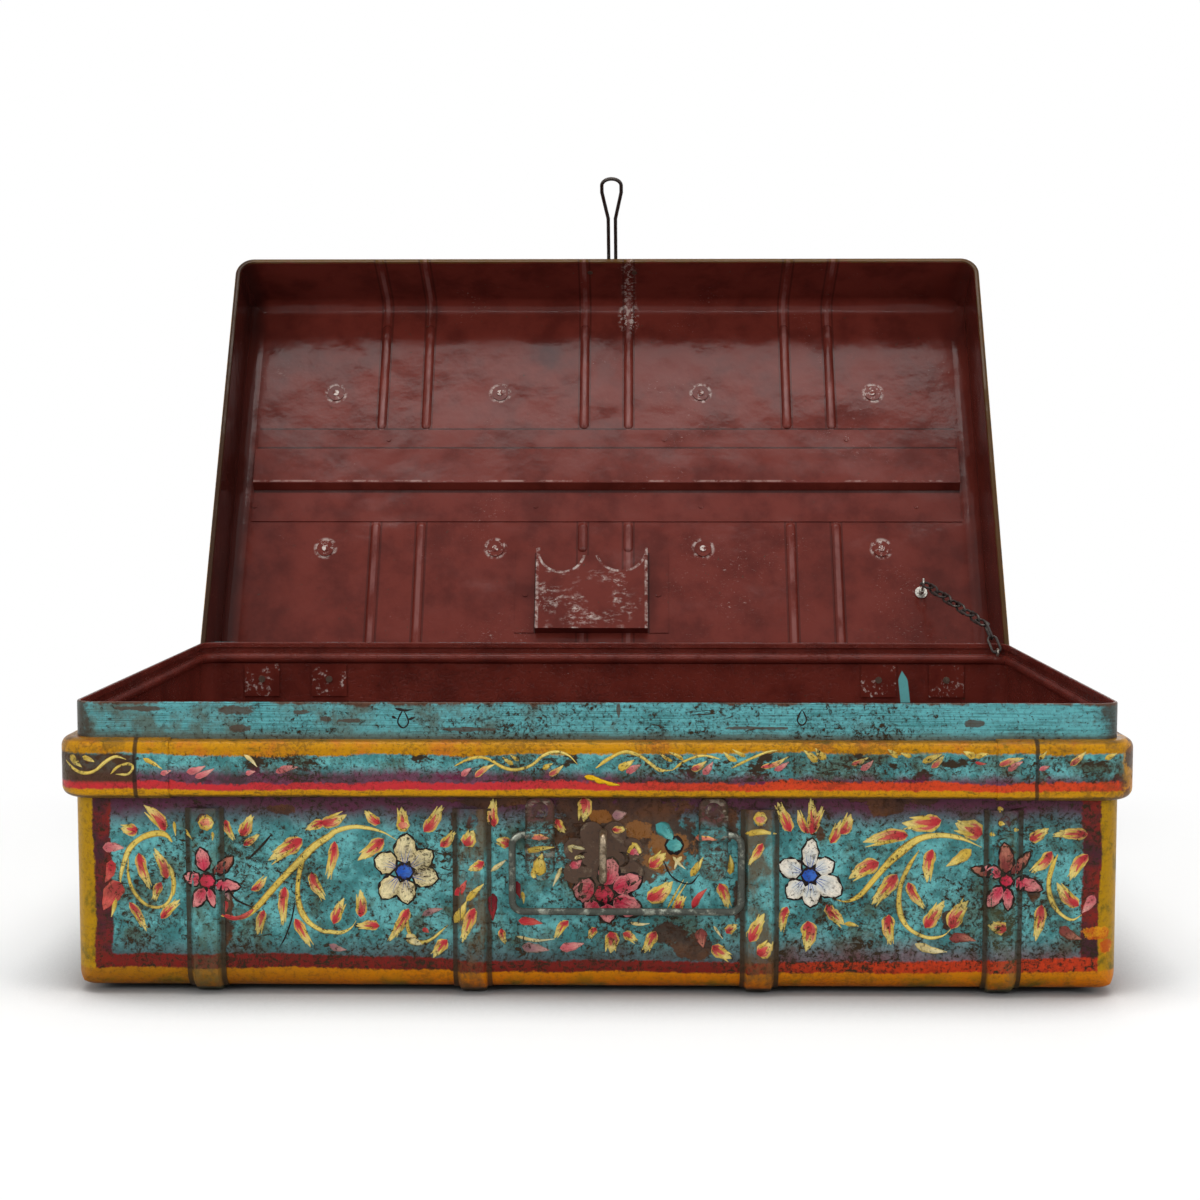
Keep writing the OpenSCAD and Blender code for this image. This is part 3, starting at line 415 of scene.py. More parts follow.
stray_stroke, i, o = group("stray_stroke", {"Place mm": "Vector"}, {"Paint": "Float"})
x, y, z = split(i["Place mm"])
middle_line = 248.6 - z * 0.12
half_width = ease(z, 158.0, 146.0) * 4.6 - 1.0
inked = ease(abs(x - middle_line) - half_width, 0.4, -0.4)
back_wall = ease(y, 165.0, 172.0) * ease(z, 118.0, 124.0)
o["Paint"] = inked * back_wall
print("groups of patches, rings and lines ready")

# %% [markdown]
# ## Enamel grounds
# The ground colours are also groups, because panels, straps and rivets share them. Each group
# takes the place on the trunk in millimetres and gives the colour there.
#
# In each ground and material, x, y and z are millimetres to the right, to the back and up.
#
# The **tray** has mustard borders at its upright corners, a dark red line inside them, a
# turquoise field, and a red and an orange-brown stripe along its foot. Under the rim band the
# field turns purple-brown, as painted shade where the band overhangs it.

# %% Palette
TURQUOISE = paint(104, 180, 182)
TURQUOISE_DEEP = paint(62, 126, 128)
MUSTARD = paint(176, 132, 2)
ORANGE_BROWN = paint(206, 108, 2)
OLIVE_BROWN = paint(92, 84, 18)
OLIVE_STAIN = paint(76, 82, 56)
DARK_RED = paint(136, 34, 22)
BRIGHT_RED = paint(196, 58, 22)
PURPLE_BROWN = paint(66, 32, 42)
BARE_BROWN = paint(52, 40, 26)
RIM_YELLOW = paint(190, 132, 4)
RIM_ORANGE = paint(192, 112, 24)
MAGENTA_HAZE = paint(108, 34, 68)
OXIDE = paint(104, 42, 34)
OXIDE_DEEP = paint(84, 32, 26)
CHALK = paint(206, 192, 184)
GRAIN = 330.0
print("palette of 16 paints")

# %% Ground of the tray
tray_ground, i, o = group(
    "tray_ground", {"Place": "Vector", "Place mm": "Vector", "Half": "Vector"},
    {"Colour": "Color", "Chips": "Float"},
)
place = i["Place"]
x, y, z = split(i["Place mm"])
half_x, half_y, _ = split(i["Half"])
edge = largest(half_x - abs(x), half_y - abs(y))
right = ease(x, 60, 160)


def line_between(position, low, high, wander=1.0):
    """A stripe in the ground that is being built."""
    return use(stripe, Place=place, Position=position, Low=low, High=high, Wander=wander)[0]


mottle = noise(place, 60, 5, 0.65)
wear = use(flaking, Place=place, Amount=0.42, Grain=GRAIN)
colour = blend(ease(mottle, 0.4, 0.6), TURQUOISE_DEEP, TURQUOISE)
colour = blend(wear["Stain"] * 0.75, colour, OLIVE_STAIN)
foot_shade = ease(z - mottle * 30.0, 26, 4)
colour = blend(foot_shade * 0.75, colour, blend(right, PURPLE_BROWN, paint(120, 40, 60)))
# Purple-brown just under the rim band is painted shade where the band overhangs the field.
under_band_shade = ease(mottle * 22.0 + z, 108, 127)
colour = blend(under_band_shade, colour, blend(mottle, PURPLE_BROWN, paint(96, 44, 72)))
red = blend(right, blend(mottle, paint(96, 22, 22), DARK_RED), BRIGHT_RED)
upright = blend(ease(mottle, 0.35, 0.7), PURPLE_BROWN, DARK_RED)
colour = blend(line_between(edge, -5.0, 23.5, 1.2), colour, upright)
middle = ease(abs(x - 60.0), 260.0, 120.0)
red_top = 25.0 - middle * 3.5
colour = blend(line_between(z, -20.0, red_top, 1.0), colour, red)
olive = ease(noise(place, 52, 6, 0.75), 0.5, 0.66)
worn_mustard = blend(olive * 0.85, MUSTARD, OLIVE_BROWN)
on_corner = line_between(edge, -5.0, 13.0)
colour = blend(on_corner, colour, worn_mustard)
foot = blend(ease(noise(place, 38, 6, 0.7), 0.46, 0.66), ORANGE_BROWN, OLIVE_BROWN)
foot = blend(ease(mottle * 14.0 + z, 10, 24), foot, paint(208, 128, 2))
leftward = ease(x, -80, -260) * 0.45
foot = blend(leftward, foot, OLIVE_BROWN)
foot_top = 16.5 - middle * 2.0
on_foot = line_between(z, -20.0, foot_top, 0.9)
colour = blend(on_foot, colour, foot)
under = ease(z, 4.6, 3.4)
colour = blend(under, colour, BARE_BROWN)
kept = largest(on_foot, on_corner)
whole = 1.0 - kept * 0.7
colour = blend(wear["Haze"] * 0.4 * whole, colour, BARE_BROWN)
chipped = wear["Chips"] * whole
o["Colour"] = blend(chipped, colour, BARE_BROWN)
o["Chips"] = chipped
print("tray ground:", len(tree.nodes), "nodes")

# %% [markdown]
# The **rim band** carries five hand-drawn stripes: orange-yellow on its rolled top, a turquoise
# field for the leaves, a magenta haze, a red line, and yellow along its lower edge.

# %% Ground of the rim band
band_ground, i, o = group(
    "band_ground", {"Place": "Vector", "Place mm": "Vector", "Bare": "Float"},
    {"Colour": "Color", "Chips": "Float"},
)
place = i["Place"]
x, _, z = split(i["Place mm"])
right = ease(x, -60, 120)
mottle = noise(place, 75, 6, 0.7)
wear = use(flaking, Place=place, Amount=0.42, Grain=380.0)
field = blend(ease(mottle, 0.38, 0.6), TURQUOISE_DEEP, TURQUOISE)
field = blend(wear["Stain"] * 0.8, field, OLIVE_STAIN)
bare_from = 0.62 - i["Bare"] * 0.35
bare_patch = noise(stretch(place, (1.0, 1.0, 1.6)), 34, 5, 0.68)
field = blend(ease(bare_patch, bare_from, bare_from + 0.05), field, BARE_BROWN)
haze_from = mottle * 12.0 + (129.5 - right * 3.5)
haze = ease(z - haze_from, 4.5, -3.0)
purple = blend(ease(mottle, 0.4, 0.6), PURPLE_BROWN, MAGENTA_HAZE)
colour = blend(haze * 0.92, field, purple)
red_top = right * 0.5 + 129.8
red = blend(right, blend(mottle, paint(196, 44, 62), paint(190, 48, 40)), paint(206, 66, 30))
colour = blend(line_between(z, 100.0, red_top, 1.5), colour, red)
yellow = blend(ease(noise(place, 40, 4, 0.6), 0.48, 0.66), RIM_YELLOW, RIM_ORANGE)
worn = ease(noise(stretch(place, (0.6, 0.6, 1.6)), 95, 6, 0.75), 0.56, 0.66)
low_yellow = blend(worn * 0.85, paint(202, 144, 2), OLIVE_BROWN)
colour = blend(line_between(z, 100.0, 125.2, 0.7), colour, low_yellow)
under_edge = ease(z - mottle * 3.0, 121.0, 119.4)
colour = blend(under_edge * 0.8, colour, BARE_BROWN)
yellow_low = right * 1.2 + 146.0
yellow = blend(worn * 0.75, yellow, OLIVE_BROWN)
colour = blend(line_between(z, yellow_low, 190.0, 1.2), colour, yellow)
shade_line = ease(z, 152.6, 153.8) * 0.5
colour = blend(shade_line, colour, BARE_BROWN)
striped = largest(ease(z, 145.0, 147.0), ease(z, 131.0, 129.0))
whole = 1.0 - striped * 0.6
colour = blend(wear["Haze"] * 0.4 * whole, colour, BARE_BROWN)
chipped = wear["Chips"] * whole
o["Colour"] = blend(chipped, colour, BARE_BROWN)
o["Chips"] = chipped
print("band ground:", len(tree.nodes), "nodes")

# %% [markdown]
# The **lid** is painted in the places it has when shut. Its top has the same mustard border as
# the tray's corners, and the rolled edge of its skirt is yellow with a red line above.

# %% Ground of the lid's outside
lid_ground, i, o = group(
    "lid_ground", {"Place": "Vector", "Closed mm": "Vector"},
    {"Colour": "Color", "Chips": "Float"},
)
place = i["Place"]
x, y, z = split(i["Closed mm"])
edge_x, edge_y = LID_HALF[0] - abs(x), LID_HALF[1] - abs(y)
on_top = ease(z, 205.0, 214.0)
mottle = noise(place, 60, 5, 0.65)
field = blend(ease(mottle, 0.4, 0.6), TURQUOISE_DEEP, TURQUOISE)
edge = mixed(on_top, largest(edge_x, edge_y), smallest(edge_x, edge_y))
colour = blend(line_between(edge, -9.0, 23.0), field, DARK_RED)
worn_mustard = blend(ease(noise(place, 45, 5, 0.7), 0.52, 0.68), MUSTARD, ORANGE_BROWN)
colour = blend(line_between(edge, -9.0, 13.5), colour, worn_mustard)
colour = blend(line_between(z, 100.0, 168.0), colour, BRIGHT_RED)
bits = ease(noise(place, 70, 5, 0.7), 0.5, 0.6)
front_rim = ease(y, -150, -178)
dull_rim = blend(bits, RIM_YELLOW, paint(70, 62, 30))
rim = blend(front_rim, dull_rim, blend(ease(mottle, 0.56, 0.62), paint(58, 52, 30), RIM_ORANGE))
colour = blend(line_between(z, 100.0, 161.5), colour, rim)
wear = use(flaking, Place=place, Amount=0.42, Grain=GRAIN)
colour = blend(wear["Haze"] * 0.4, colour, BARE_BROWN)
o["Colour"] = blend(wear["Chips"], colour, BARE_BROWN)
o["Chips"] = wear["Chips"]
print("lid ground:", len(tree.nodes), "nodes")

# %% [markdown]
# The **inside** has one coat of glossy oxide red. It is cloudy, dark where hands and things have
# rubbed it, and scuffed pale where something hard scraped along.

# %% Oxide coat of the inside
oxide_coat, i, o = group(
    "oxide_coat", {"Place": "Vector"},
    {"Colour": "Color", "Roughness": "Float", "Height": "Float"},
)
place = i["Place"]
sheet_marks = use(dented, Place=place)
colour = blend(ease(sheet_marks["Cloud"], 0.3, 0.62), OXIDE_DEEP, OXIDE)
colour = blend(sheet_marks["Pale"] * 0.4, colour, CHALK)
colour = blend(sheet_marks["Dark"], colour, BARE_BROWN)
rough = sheet_marks["Cloud"] * 0.24 + 0.05
o["Colour"] = colour
o["Roughness"] = largest(sheet_marks["Pale"], sheet_marks["Dark"]) * 0.35 + rough
o["Height"] = sheet_marks["Height"]
print("oxide coat:", len(tree.nodes), "nodes")

# %% [markdown]
# ## Materials
# Each material takes the place on the object in millimetres, asks a group for its colour, and
# ends in one Principled shader. Chips are duller and lower than the enamel round them.


# %% Helpers for materials
def material(name):
    """Starts a material, whose tree is the present one from here on."""
    global tree
    made = bpy.data.materials.new(name)
    made.use_nodes = True
    tree = made.node_tree
    tree.nodes.clear()
    return made


def in_mm(place):
    """A place in metres, in mm from the base's middle."""
    moved = add("VectorMath", {0: place, 1: (0, -MIDDLE_Y * MM, 0)}, operation="ADD")[0]
    return stretch(moved, (1000, 1000, 1000))


def coordinates():
    """The place in metres and the place in mm from the base's middle."""
    place = add("TexCoord")["Object"]
    return place, in_mm(place)


def outside(mm, normal, half, closed_end):
    """1 on the painted side of a sheet and 0 on its inside."""
    half = (*half, 0)
    return use(which_side, Place_mm=mm, Normal=normal, Half=half, Closed_end=closed_end)[0]


def shade(colour, rough, height, depth, metal=0.0, specular=0.12):
    """Ends a material in a Principled shader. The depth of the relief is in millimetres."""
    bump = {"Height": height, "Distance": depth * MM, "Strength": 1.0}
    inputs = {"Base Color": colour, "Roughness": rough, "Metallic": metal}
    inputs.update({"Specular IOR Level": specular, "Normal": add("Bump", bump)[0]})
    add("OutputMaterial", {"Surface": add("BsdfPrincipled", inputs)[0]})


def dress(made, *names):
    """Gives CAD nodes their material."""
    for name in names:
        slots = NODES[name].data.materials
        slots.clear()
        slots.append(made)


def enamel(place, chips):
    """Roughness and height of brushed enamel with chips in it."""
    relief = use(brushed_enamel, Place=place, Chips=chips)
    return relief["Roughness"], relief["Height"]


print("material helpers ready")

# %% [markdown]
# ### Tray, straps and handle
# The end panels and the wrap have two sides, so this material mixes the painted outside and the
# oxide inside by the direction of the face. The straps add a dark line where the sheet steps up.

# %% Bare patches
BROWN_PATCHES = (
    (0, 104, 34, 20), (30, 104, 30, 19), (14, 84, 26, 18), (46, 92, 17, 14), (-4, 72, 15, 10),
    (44, 38, 11, 6), (58, 30, 12, 7), (171, 115, 11, 6), (156, 121, 9, 4), (192, 119, 12, 3.5),
    (209, 47, 3.5, 5), (-60, 118, 26, 4), (79, 104, 7, 12), (-223, 38, 6, 14), (-219, 56, 4, 12),
    (-186, 112, 8, 3), (133, 98, 3, 5), (260, 66, 4, 7), (-82, 104, 4, 9), (86, 60, 4, 12),
)
RUST_PATCHES = ((44, 88, 14, 11), (26, 100, 10, 6), (4, 108, 8, 4))
SPLASHES = ((297, 39, 7, 4), (303, 31, 5, 4))
NECK_PATCHES = (
    (-212, 171, 10, 3), (-209, 160, 7, 3), (-173, 170, 5, 1.6), (-159, 166, 4, 1.6),
    (-145, 165, 6, 1.2), (223, 164, 5, 2.2), (14, 171, 1.2, 5), (-269, 172, 14, 1.6),
    (-78, 160, 16, 1.2), (97, 161, 20, 1),
)


def patches(place, mm, spots):
    """Rubbed and chipped areas on the front: x, z and the two half sizes of each, in mm."""
    ragged = noise(place, 95, 5, 0.7) - 0.5
    found = []
    for x, z, wide, high in spots:
        centre, scale = (x, -BODY_HALF[1], z), (1 / wide, 0.05, 1 / high)
        patch = use(ragged_patch, Place_mm=mm, Ragged=ragged, Centre=centre, Scale=scale)
        found.append(patch[0])
    return largest(*found)


print(len(BROWN_PATCHES) + len(RUST_PATCHES) + len(NECK_PATCHES), "bare patches")

# %% Painted panels
painted_panels = material("painted_panels")
place, mm = coordinates()
_, _, z = split(mm)
ground = use(tray_ground, Place=place, Place_mm=mm, Half=(*BODY_HALF, 0))
floor_end = ease(z, 22.0, 6.0) * -1.0
side = outside(mm, add("TexCoord")["Normal"], BODY_HALF, floor_end)
inside = use(oxide_coat, Place=place)
bare = patches(place, mm, BROWN_PATCHES)
bare_paint = blend(ease(noise(place, 60, 5, 0.7), 0.4, 0.62), paint(60, 38, 26), paint(88, 54, 30))
bare_paint = blend(patches(place, mm, RUST_PATCHES), bare_paint, paint(132, 80, 26))
outer = blend(bare * 0.92, ground["Colour"], bare_paint)
flecks = ease(noise(place, 130, 5, 0.7), 0.42, 0.6)
splashed = blend(flecks, paint(190, 70, 14), paint(222, 150, 20))
outer = blend(patches(place, mm, SPLASHES) * 0.8, outer, splashed)
lining = blend(use(stray_stroke, Place_mm=mm)[0], inside["Colour"], TURQUOISE)
dull, height = enamel(place, ground["Chips"])
rough = mixed(side, inside["Roughness"], dull)
shade(blend(side, lining, outer), rough, height - bare * 0.5, 0.5)
dress(painted_panels, "body_wrap", "end_panel_left", "end_panel_right")
print("panels:", len(tree.nodes), "nodes")


# %% Painted straps of the tray
def ring(distance, start, full, fading, end):
    ends = {"Start": start, "Full": full, "Fading": fading, "End": end}
    return use(distance_ring, Distance=distance, **ends)[0]


def strap_edges(mm, places):
    """A dark line on both flanks of each strap."""
    x = split(mm)[0]
    return largest(*(ring(abs(x - centre), 7.6, 9.4, 12.5, 14.0) for centre in places))


STRAPS = ["body_strap_%d" % k for k in (1, 2, 3, 4)]
painted_straps = material("painted_straps")
place, mm = coordinates()
strap_half = (BODY_HALF[0], BODY_HALF[1] + 3, 0)
ground = use(tray_ground, Place=place, Place_mm=mm, Half=strap_half)
dull, height = enamel(place, ground["Chips"])
soaked = ease(noise(stretch(place, (1.0, 1.0, 0.5)), 48, 6, 0.72), 0.4, 0.58)
middle_pair = ease(abs(split(mm)[0]), 180.0, 120.0)
soaked = soaked * (middle_pair * 0.25 + 0.55)
body = blend(soaked, ground["Colour"], blend(middle_pair, OLIVE_STAIN, paint(96, 72, 44)))
shade(blend(strap_edges(mm, BODY_STRAPS) * 0.85, body, BARE_BROWN), dull, height, 0.5)
dress(painted_straps, *STRAPS)
print("straps of the tray:", len(tree.nodes), "nodes")


# %% Painted straps of the lid
def turn_shut(vector, centre=(0, 0, 0)):
    inputs = {"Vector": vector, "Center": centre, "Angle": OPEN_ANGLE}
    return add("VectorRotate", inputs, rotation_type="X_AXIS")[0]


def lid_coordinates():
    """The same two for the lid, with the second as if it were shut."""
    place = add("TexCoord")["Object"]
    return place, in_mm(turn_shut(place, (0, HINGE_YZ[0] * MM, HINGE_YZ[1] * MM)))


LID_STRAP_NODES = ["lid_strap_%d" % k for k in (1, 2, 3, 4)]
lid_strap_paint = material("lid_strap_paint")
place, mm = lid_coordinates()
ground = use(lid_ground, Place=place, Closed_mm=mm)
grime = strap_edges(mm, LID_STRAPS) * 0.7
dull, height = enamel(place, ground["Chips"])
shade(blend(grime, ground["Colour"], BARE_BROWN), dull, height, 0.5)
dress(lid_strap_paint, *LID_STRAP_NODES)
print("straps of the lid:", len(tree.nodes), "nodes")


# %% Painted handle and lugs
def flakes(place, amount, grain):
    return use(flaking, Place=place, Amount=amount, Grain=grain)


LUGS_X = (-32.45, 70.05)
painted_handle = material("painted_handle")
place, mm = coordinates()
x, _, z = split(mm)
base = blend(ease(noise(place, 90, 5, 0.6), 0.4, 0.6), TURQUOISE_DEEP, TURQUOISE)
# Dark lines along both flanks of each lug are painted shade where the lug stands on the panel.
flank_shade = largest(*(ring(abs(x - centre), 6.4, 8.6, 11.0, 13.0) for centre in LUGS_X))
top_red = ease(noise(place, 120, 3) * 10.0 + z, 106, 112)
base = blend(top_red * 0.9, base, paint(98, 22, 28))
wear = flakes(place, 0.47, 420.0)
base = blend(wear["Stain"] * 0.8, base, OLIVE_STAIN)
base = blend(wear["Haze"] * 0.55, base, paint(84, 70, 50))
base = blend(wear["Chips"], base, paint(72, 58, 48))
base = blend(flank_shade * 0.75, base, BARE_BROWN)
metal = ease(noise(stretch(place, (0.4, 1, 1)), 160, 4, 0.7), 0.6, 0.68) * 0.55
dull, height = enamel(place, wear["Chips"])
shade(blend(metal, base, paint(150, 140, 125)), dull, height, 0.35, metal)
dress(painted_handle, "handle_lugs")
print("tray, straps and handle painted")

# %% [markdown]
# ### Neck and rim band
# The neck is the upright sheet that the lid slides over. Its lip is rubbed bare, and brush lines
# run along it. The band below it carries the stripes, and its caps are more worn.

# %% Neck
painted_neck = material("painted_neck")
place, mm = coordinates()
x, _, z = split(mm)
along = use(bristles, Place=mm, Along=(0.02, 0.02, 2.4))[0]
broad = noise(place, 36, 6, 0.7)
wear = flakes(place, 0.4, GRAIN)
colour = blend(ease(broad * 0.6 + along, 0.62, 0.86), TURQUOISE_DEEP, paint(100, 176, 182))
dark_line = ease(use(bristles, Place=mm, Along=(0.035, 0.035, 1.4))[0], 0.64, 0.7)
colour = blend(dark_line * 0.7, colour, paint(52, 60, 54))
stained = ease(x, 160.0, -300.0) * 0.15 + broad
colour = blend(ease(stained, 0.55, 0.74) * 0.75, colour, paint(84, 78, 58))
low = ease(broad * 10.0 + z, 165.0, 159.5)
colour = blend(low * 0.8, colour, paint(94, 88, 74))
corner = NECK_HALF[0] - abs(x)
corner = ease(corner - broad * 46.0, -10.0, -18.0)
colour = blend(corner * 0.85, colour, paint(64, 50, 38))
lip = ease(broad * 16.0 + z, 182.6, 184.4)
colour = blend(lip, colour, paint(86, 58, 44))
colour = blend(wear["Haze"] * 0.35, colour, BARE_BROWN)
colour = blend(wear["Chips"], colour, BARE_BROWN)
colour = blend(patches(place, mm, NECK_PATCHES) * 0.85, colour, paint(78, 60, 48))
side = outside(mm, add("TexCoord")["Normal"], NECK_HALF, 0.35)
inside = use(oxide_coat, Place=place)
lining = blend(use(stray_stroke, Place_mm=mm)[0], inside["Colour"], TURQUOISE)
dull, height = enamel(place, wear["Chips"])
shade(blend(side, lining, colour), mixed(side, inside["Roughness"], dull), height, 0.4)
dress(painted_neck, "neck_front", "neck_back", "neck_left", "neck_right")
print("neck:", len(tree.nodes), "nodes")

# %% Rim band
painted_band = material("painted_band")
place, mm = coordinates()
ground = use(band_ground, Place=place, Place_mm=mm, Bare=0.15)
dull, height = enamel(place, ground["Chips"])
shade(ground["Colour"], dull, height, 0.45)
dress(painted_band, "rim_band_front", "rim_band_back", "rim_band_left", "rim_band_right")
print("band:", len(tree.nodes), "nodes")

# %% Corner caps of the band
SEAMS_X = (258.8, -270.6)
worn_caps = material("worn_corner_caps")
place, mm = coordinates()
x, y, z = split(mm)
beyond = largest(
    ease(x, 258.5, 259.5), ease(x, -270.0, -271.0), ease(y, -172.0, -165.0)
)
ground = use(band_ground, Place=place, Place_mm=mm, Bare=beyond * 0.06 + 0.15)
spots = noise(place, 80, 5, 0.7)
field = ease(z, 128, 131) * ease(z, 147.5, 145)
dark_left = field * (beyond * ease(x, 0, -100))
dark_paint = blend(spots, paint(44, 30, 20), paint(92, 62, 40))
colour = blend(dark_left * 0.9, ground["Colour"], dark_paint)
end = ease(spots * 12.0 + x, 313, 317)
rusty_end = blend(ease(spots, 0.44, 0.54), paint(196, 136, 22), paint(92, 58, 30))
colour = blend(end * 0.85, colour, rusty_end)
shaky_x = spots * 2.5 + x
seam = largest(*(ease(abs(shaky_x - (where + 1.2)), 1.7, 0.8) for where in SEAMS_X))
seam = seam * ease(y, -165.0, -172.0)
colour = blend(seam * 0.85, colour, paint(36, 26, 20))
soaked = ease(noise(place, 58, 6, 0.72), 0.5, 0.62) * beyond
colour = blend(soaked * 0.45, colour, paint(74, 60, 30))
dull, height = enamel(place, ground["Chips"])
shade(colour, dull, height, 0.5)
dress(worn_caps, "rim_corner_caps")
print("neck and band painted")

# %% [markdown]
# ### Lid
# The lid's sheet is painted outside and red-brown inside, like the tray. The inside is the big
# face in the picture, so it gets broad soft dents, which bend the studio's reflection. Dark lines
# of painted shade lie at the feet of the beads that are pressed into it, with pale lines of
# painted highlight on their crests, and pale rings lie round its rivets. The inner end walls and
# the front edge of the stiffener get painted shade too.


# %% Lid sheets
def hairline(value, where, width):
    return use(thin_line, Value=value, Where=where, Width=width)[0]


BEADS_X = [centre + half for centre in (-173.6, 0.0, 173.6) for half in (-19.0, 19.0)]
RIVET_ROWS_Y = (-92.1, 55.7)
painted_lid = material("painted_lid")
place, mm = lid_coordinates()
x, y, z = split(mm)
ground = use(lid_ground, Place=place, Closed_mm=mm)
side = outside(mm, turn_shut(add("TexCoord")["Normal"]), LID_HALF, 1.0)
inside = use(oxide_coat, Place=place)
rim = ease(noise(place, 70, 4) * 4.0 + z, 159.5, 157.5)
lining = blend(rim * 0.8, inside["Colour"], paint(86, 66, 26))
smudge = how_far(mm, (-52, -131, 0), (1 / 20, 1 / 20, 0))
smudge = ease(noise(place, 40, 4, 0.6) * 1.4 + smudge, 1.6, 0.9)
lining = blend(smudge * 0.6, lining, paint(56, 28, 30))
across = abs(x)
# The end walls inside are darkened, more on the left: painted shade.
ends = ease(across, 294.0, 308.0) * ease(x, 320.0, -300.0)
lining = blend(ends * 0.35 + ease(across, 296, 309) * 0.4, lining, paint(36, 17, 15))
# A thin dark line along the front edge where the stiffener lies on the sheet is painted shade.
contact_shade = hairline(y, -57.0, 1.4) * ease(across, 298.0, 296.0)
lining = blend(contact_shade * 0.75, lining, paint(40, 18, 14))
near_hasp = ease(how_far(mm, (19, -168, 0), (1 / 9, 1 / 17, 0)), 1.15, 0.6)
scraped = ease(noise(place, 260, 6, 0.75), 0.5, 0.58) * near_hasp
lining = blend(scraped * 0.8, lining, CHALK)
# Dark lines at the feet of the beads are painted shade, and pale broken lines on their crests are
# painted highlights.
off_beads = [abs(x - bead) for bead in BEADS_X]
bead_foot_shade = largest(*(hairline(off, 4.6, 1.2) for off in off_beads))
lining = blend(bead_foot_shade * 0.55, lining, paint(52, 22, 18))
crests = largest(*(ease(off, 2.4, 1.2) for off in off_beads))
crest_highlight = crests * ease(noise(stretch(place, (1, 0.4, 0.4)), 60, 4, 0.6), 0.38, 0.6)
lining = blend(crest_highlight * 0.4, lining, paint(150, 104, 100))
beads = largest(*(ease(off, 4.5, 0.5) for off in off_beads)) * ease(abs(y), 146.0, 152.0)
rivets = [how_far(mm, (x, y, 0)) for x in LID_STRAPS for y in RIVET_ROWS_Y]
rings = largest(*(ring(far, 6.6, 7.4, 8.0, 10.5) for far in rivets))
rings = rings * ease(noise(place, 220, 5, 0.7), 0.46, 0.6)
lining = blend(rings * 0.55, lining, CHALK)
dull, height = enamel(place, ground["Chips"])
rough = mixed(side, inside["Roughness"], dull)
relief = mixed(side, beads * 2.4 + inside["Height"] * 9.0, height)
shade(blend(side, lining, ground["Colour"]), rough, relief, 0.5, specular=0.14)
dress(painted_lid, "lid_wrap", "lid_end_left", "lid_end_right")
print("lid sheets:", len(tree.nodes), "nodes")

# %% Stiffener
painted_inside = material("painted_inside")
place, mm = lid_coordinates()
inside = use(oxide_coat, Place=place)
y = split(mm)[1]
# Dark lines at the stiffener's two folds are painted shade.
fold_shade = largest(hairline(y, -38.4, 1.5), hairline(y, 3.0, 1.8))
colour = blend(fold_shade * 0.75, inside["Colour"], paint(40, 18, 14))
# Pale broken lines along the crown's edges are painted highlights and rubbed paint.
edge = largest(hairline(y, -34.8, 1.0), hairline(y, -3.4, 1.2))
edge = edge * ease(noise(place, 46, 5, 0.7), 0.46, 0.6)
colour = blend(edge * 0.55, colour, paint(168, 136, 128))
shade(colour, inside["Roughness"], inside["Height"], 2.5, specular=0.14)
dress(painted_inside, "lid_stiffener")
print("stiffener:", len(tree.nodes), "nodes")

# %% Pocket
HOLES = ((-36.0, 63.0, 18.0), (13.0, 60.0, 20.0))
pocket_paint = material("pocket_paint")
place, mm = lid_coordinates()
x, y, z = split(mm)
inside = use(oxide_coat, Place=place)
crest = ease(z - noise(place, 160, 5, 0.7) * 9.0, 209.5, 205.5)
chipped = ease(noise(stretch(place, (0.6, 1.4, 1.4)), 240, 6, 0.78), 0.5, 0.58)
zone = ease(noise(place, 34, 3, 0.6), 0.46, 0.6)
rims = largest(hairline(x, -56.2, 2.2), hairline(x, 34.2, 2.2)) * ease(y, 58.0, 62.0)
holes = [hairline(how_far(mm, (x, y, 0)), radius + 1.0, 1.5) for x, y, radius in HOLES]
rims = largest(rims, *holes) * ease(noise(place, 150, 5, 0.7), 0.4, 0.52)
# Dark lines just outside the pocket's side flanges are painted shade.
flange_shade = largest(hairline(x, -57.6, 1.2), hairline(x, 35.8, 1.2))
colour = blend(flange_shade * 0.7, inside["Colour"], paint(44, 20, 16))
colour = blend(largest(chipped * zone, rims) * crest, colour, CHALK)
shade(colour, inside["Roughness"], inside["Height"], 1.2, specular=0.14)
dress(pocket_paint, "lid_pocket")
print("lid painted")

# %% [markdown]
# ### Iron and steel
# The fittings are bare or half bare. Their group mixes a metal, rust and dark grime by noise,
# and the metal part alone is metallic.

# %% Rusting metal
rusting, i, o = group(
    "rusting_metal",
    {"Place": "Vector", "Metal": "Color", "Rust": "Color", "Rusted": "Float"},
    {"Colour": "Color", "Metallic": "Float", "Roughness": "Float", "Height": "Float"},
)
place = i["Place"]
spots = noise(place, 130, 6, 0.7)
threshold = 0.72 - i["Rusted"] * 0.45
rusty = ease(spots - threshold, -0.05, 0.07)
grime = ease(noise(place, 420, 4, 0.7), 0.52, 0.66)
o["Colour"] = blend(grime * 0.55, blend(rusty, i["Metal"], i["Rust"]), paint(30, 22, 18))
o["Metallic"] = 0.9 - rusty * 0.85
o["Roughness"] = rusty * 0.35 + 0.33
o["Height"] = rusty * 0.5 + spots
print("rusting metal:", len(tree.nodes), "nodes")


# %% Bare fittings
def iron_of(place, metal, rust, rusted):
    metal, rust = paint(*metal), paint(*rust)
    return use(rusting, Place=place, Metal=metal, Rust=rust, Rusted=rusted)


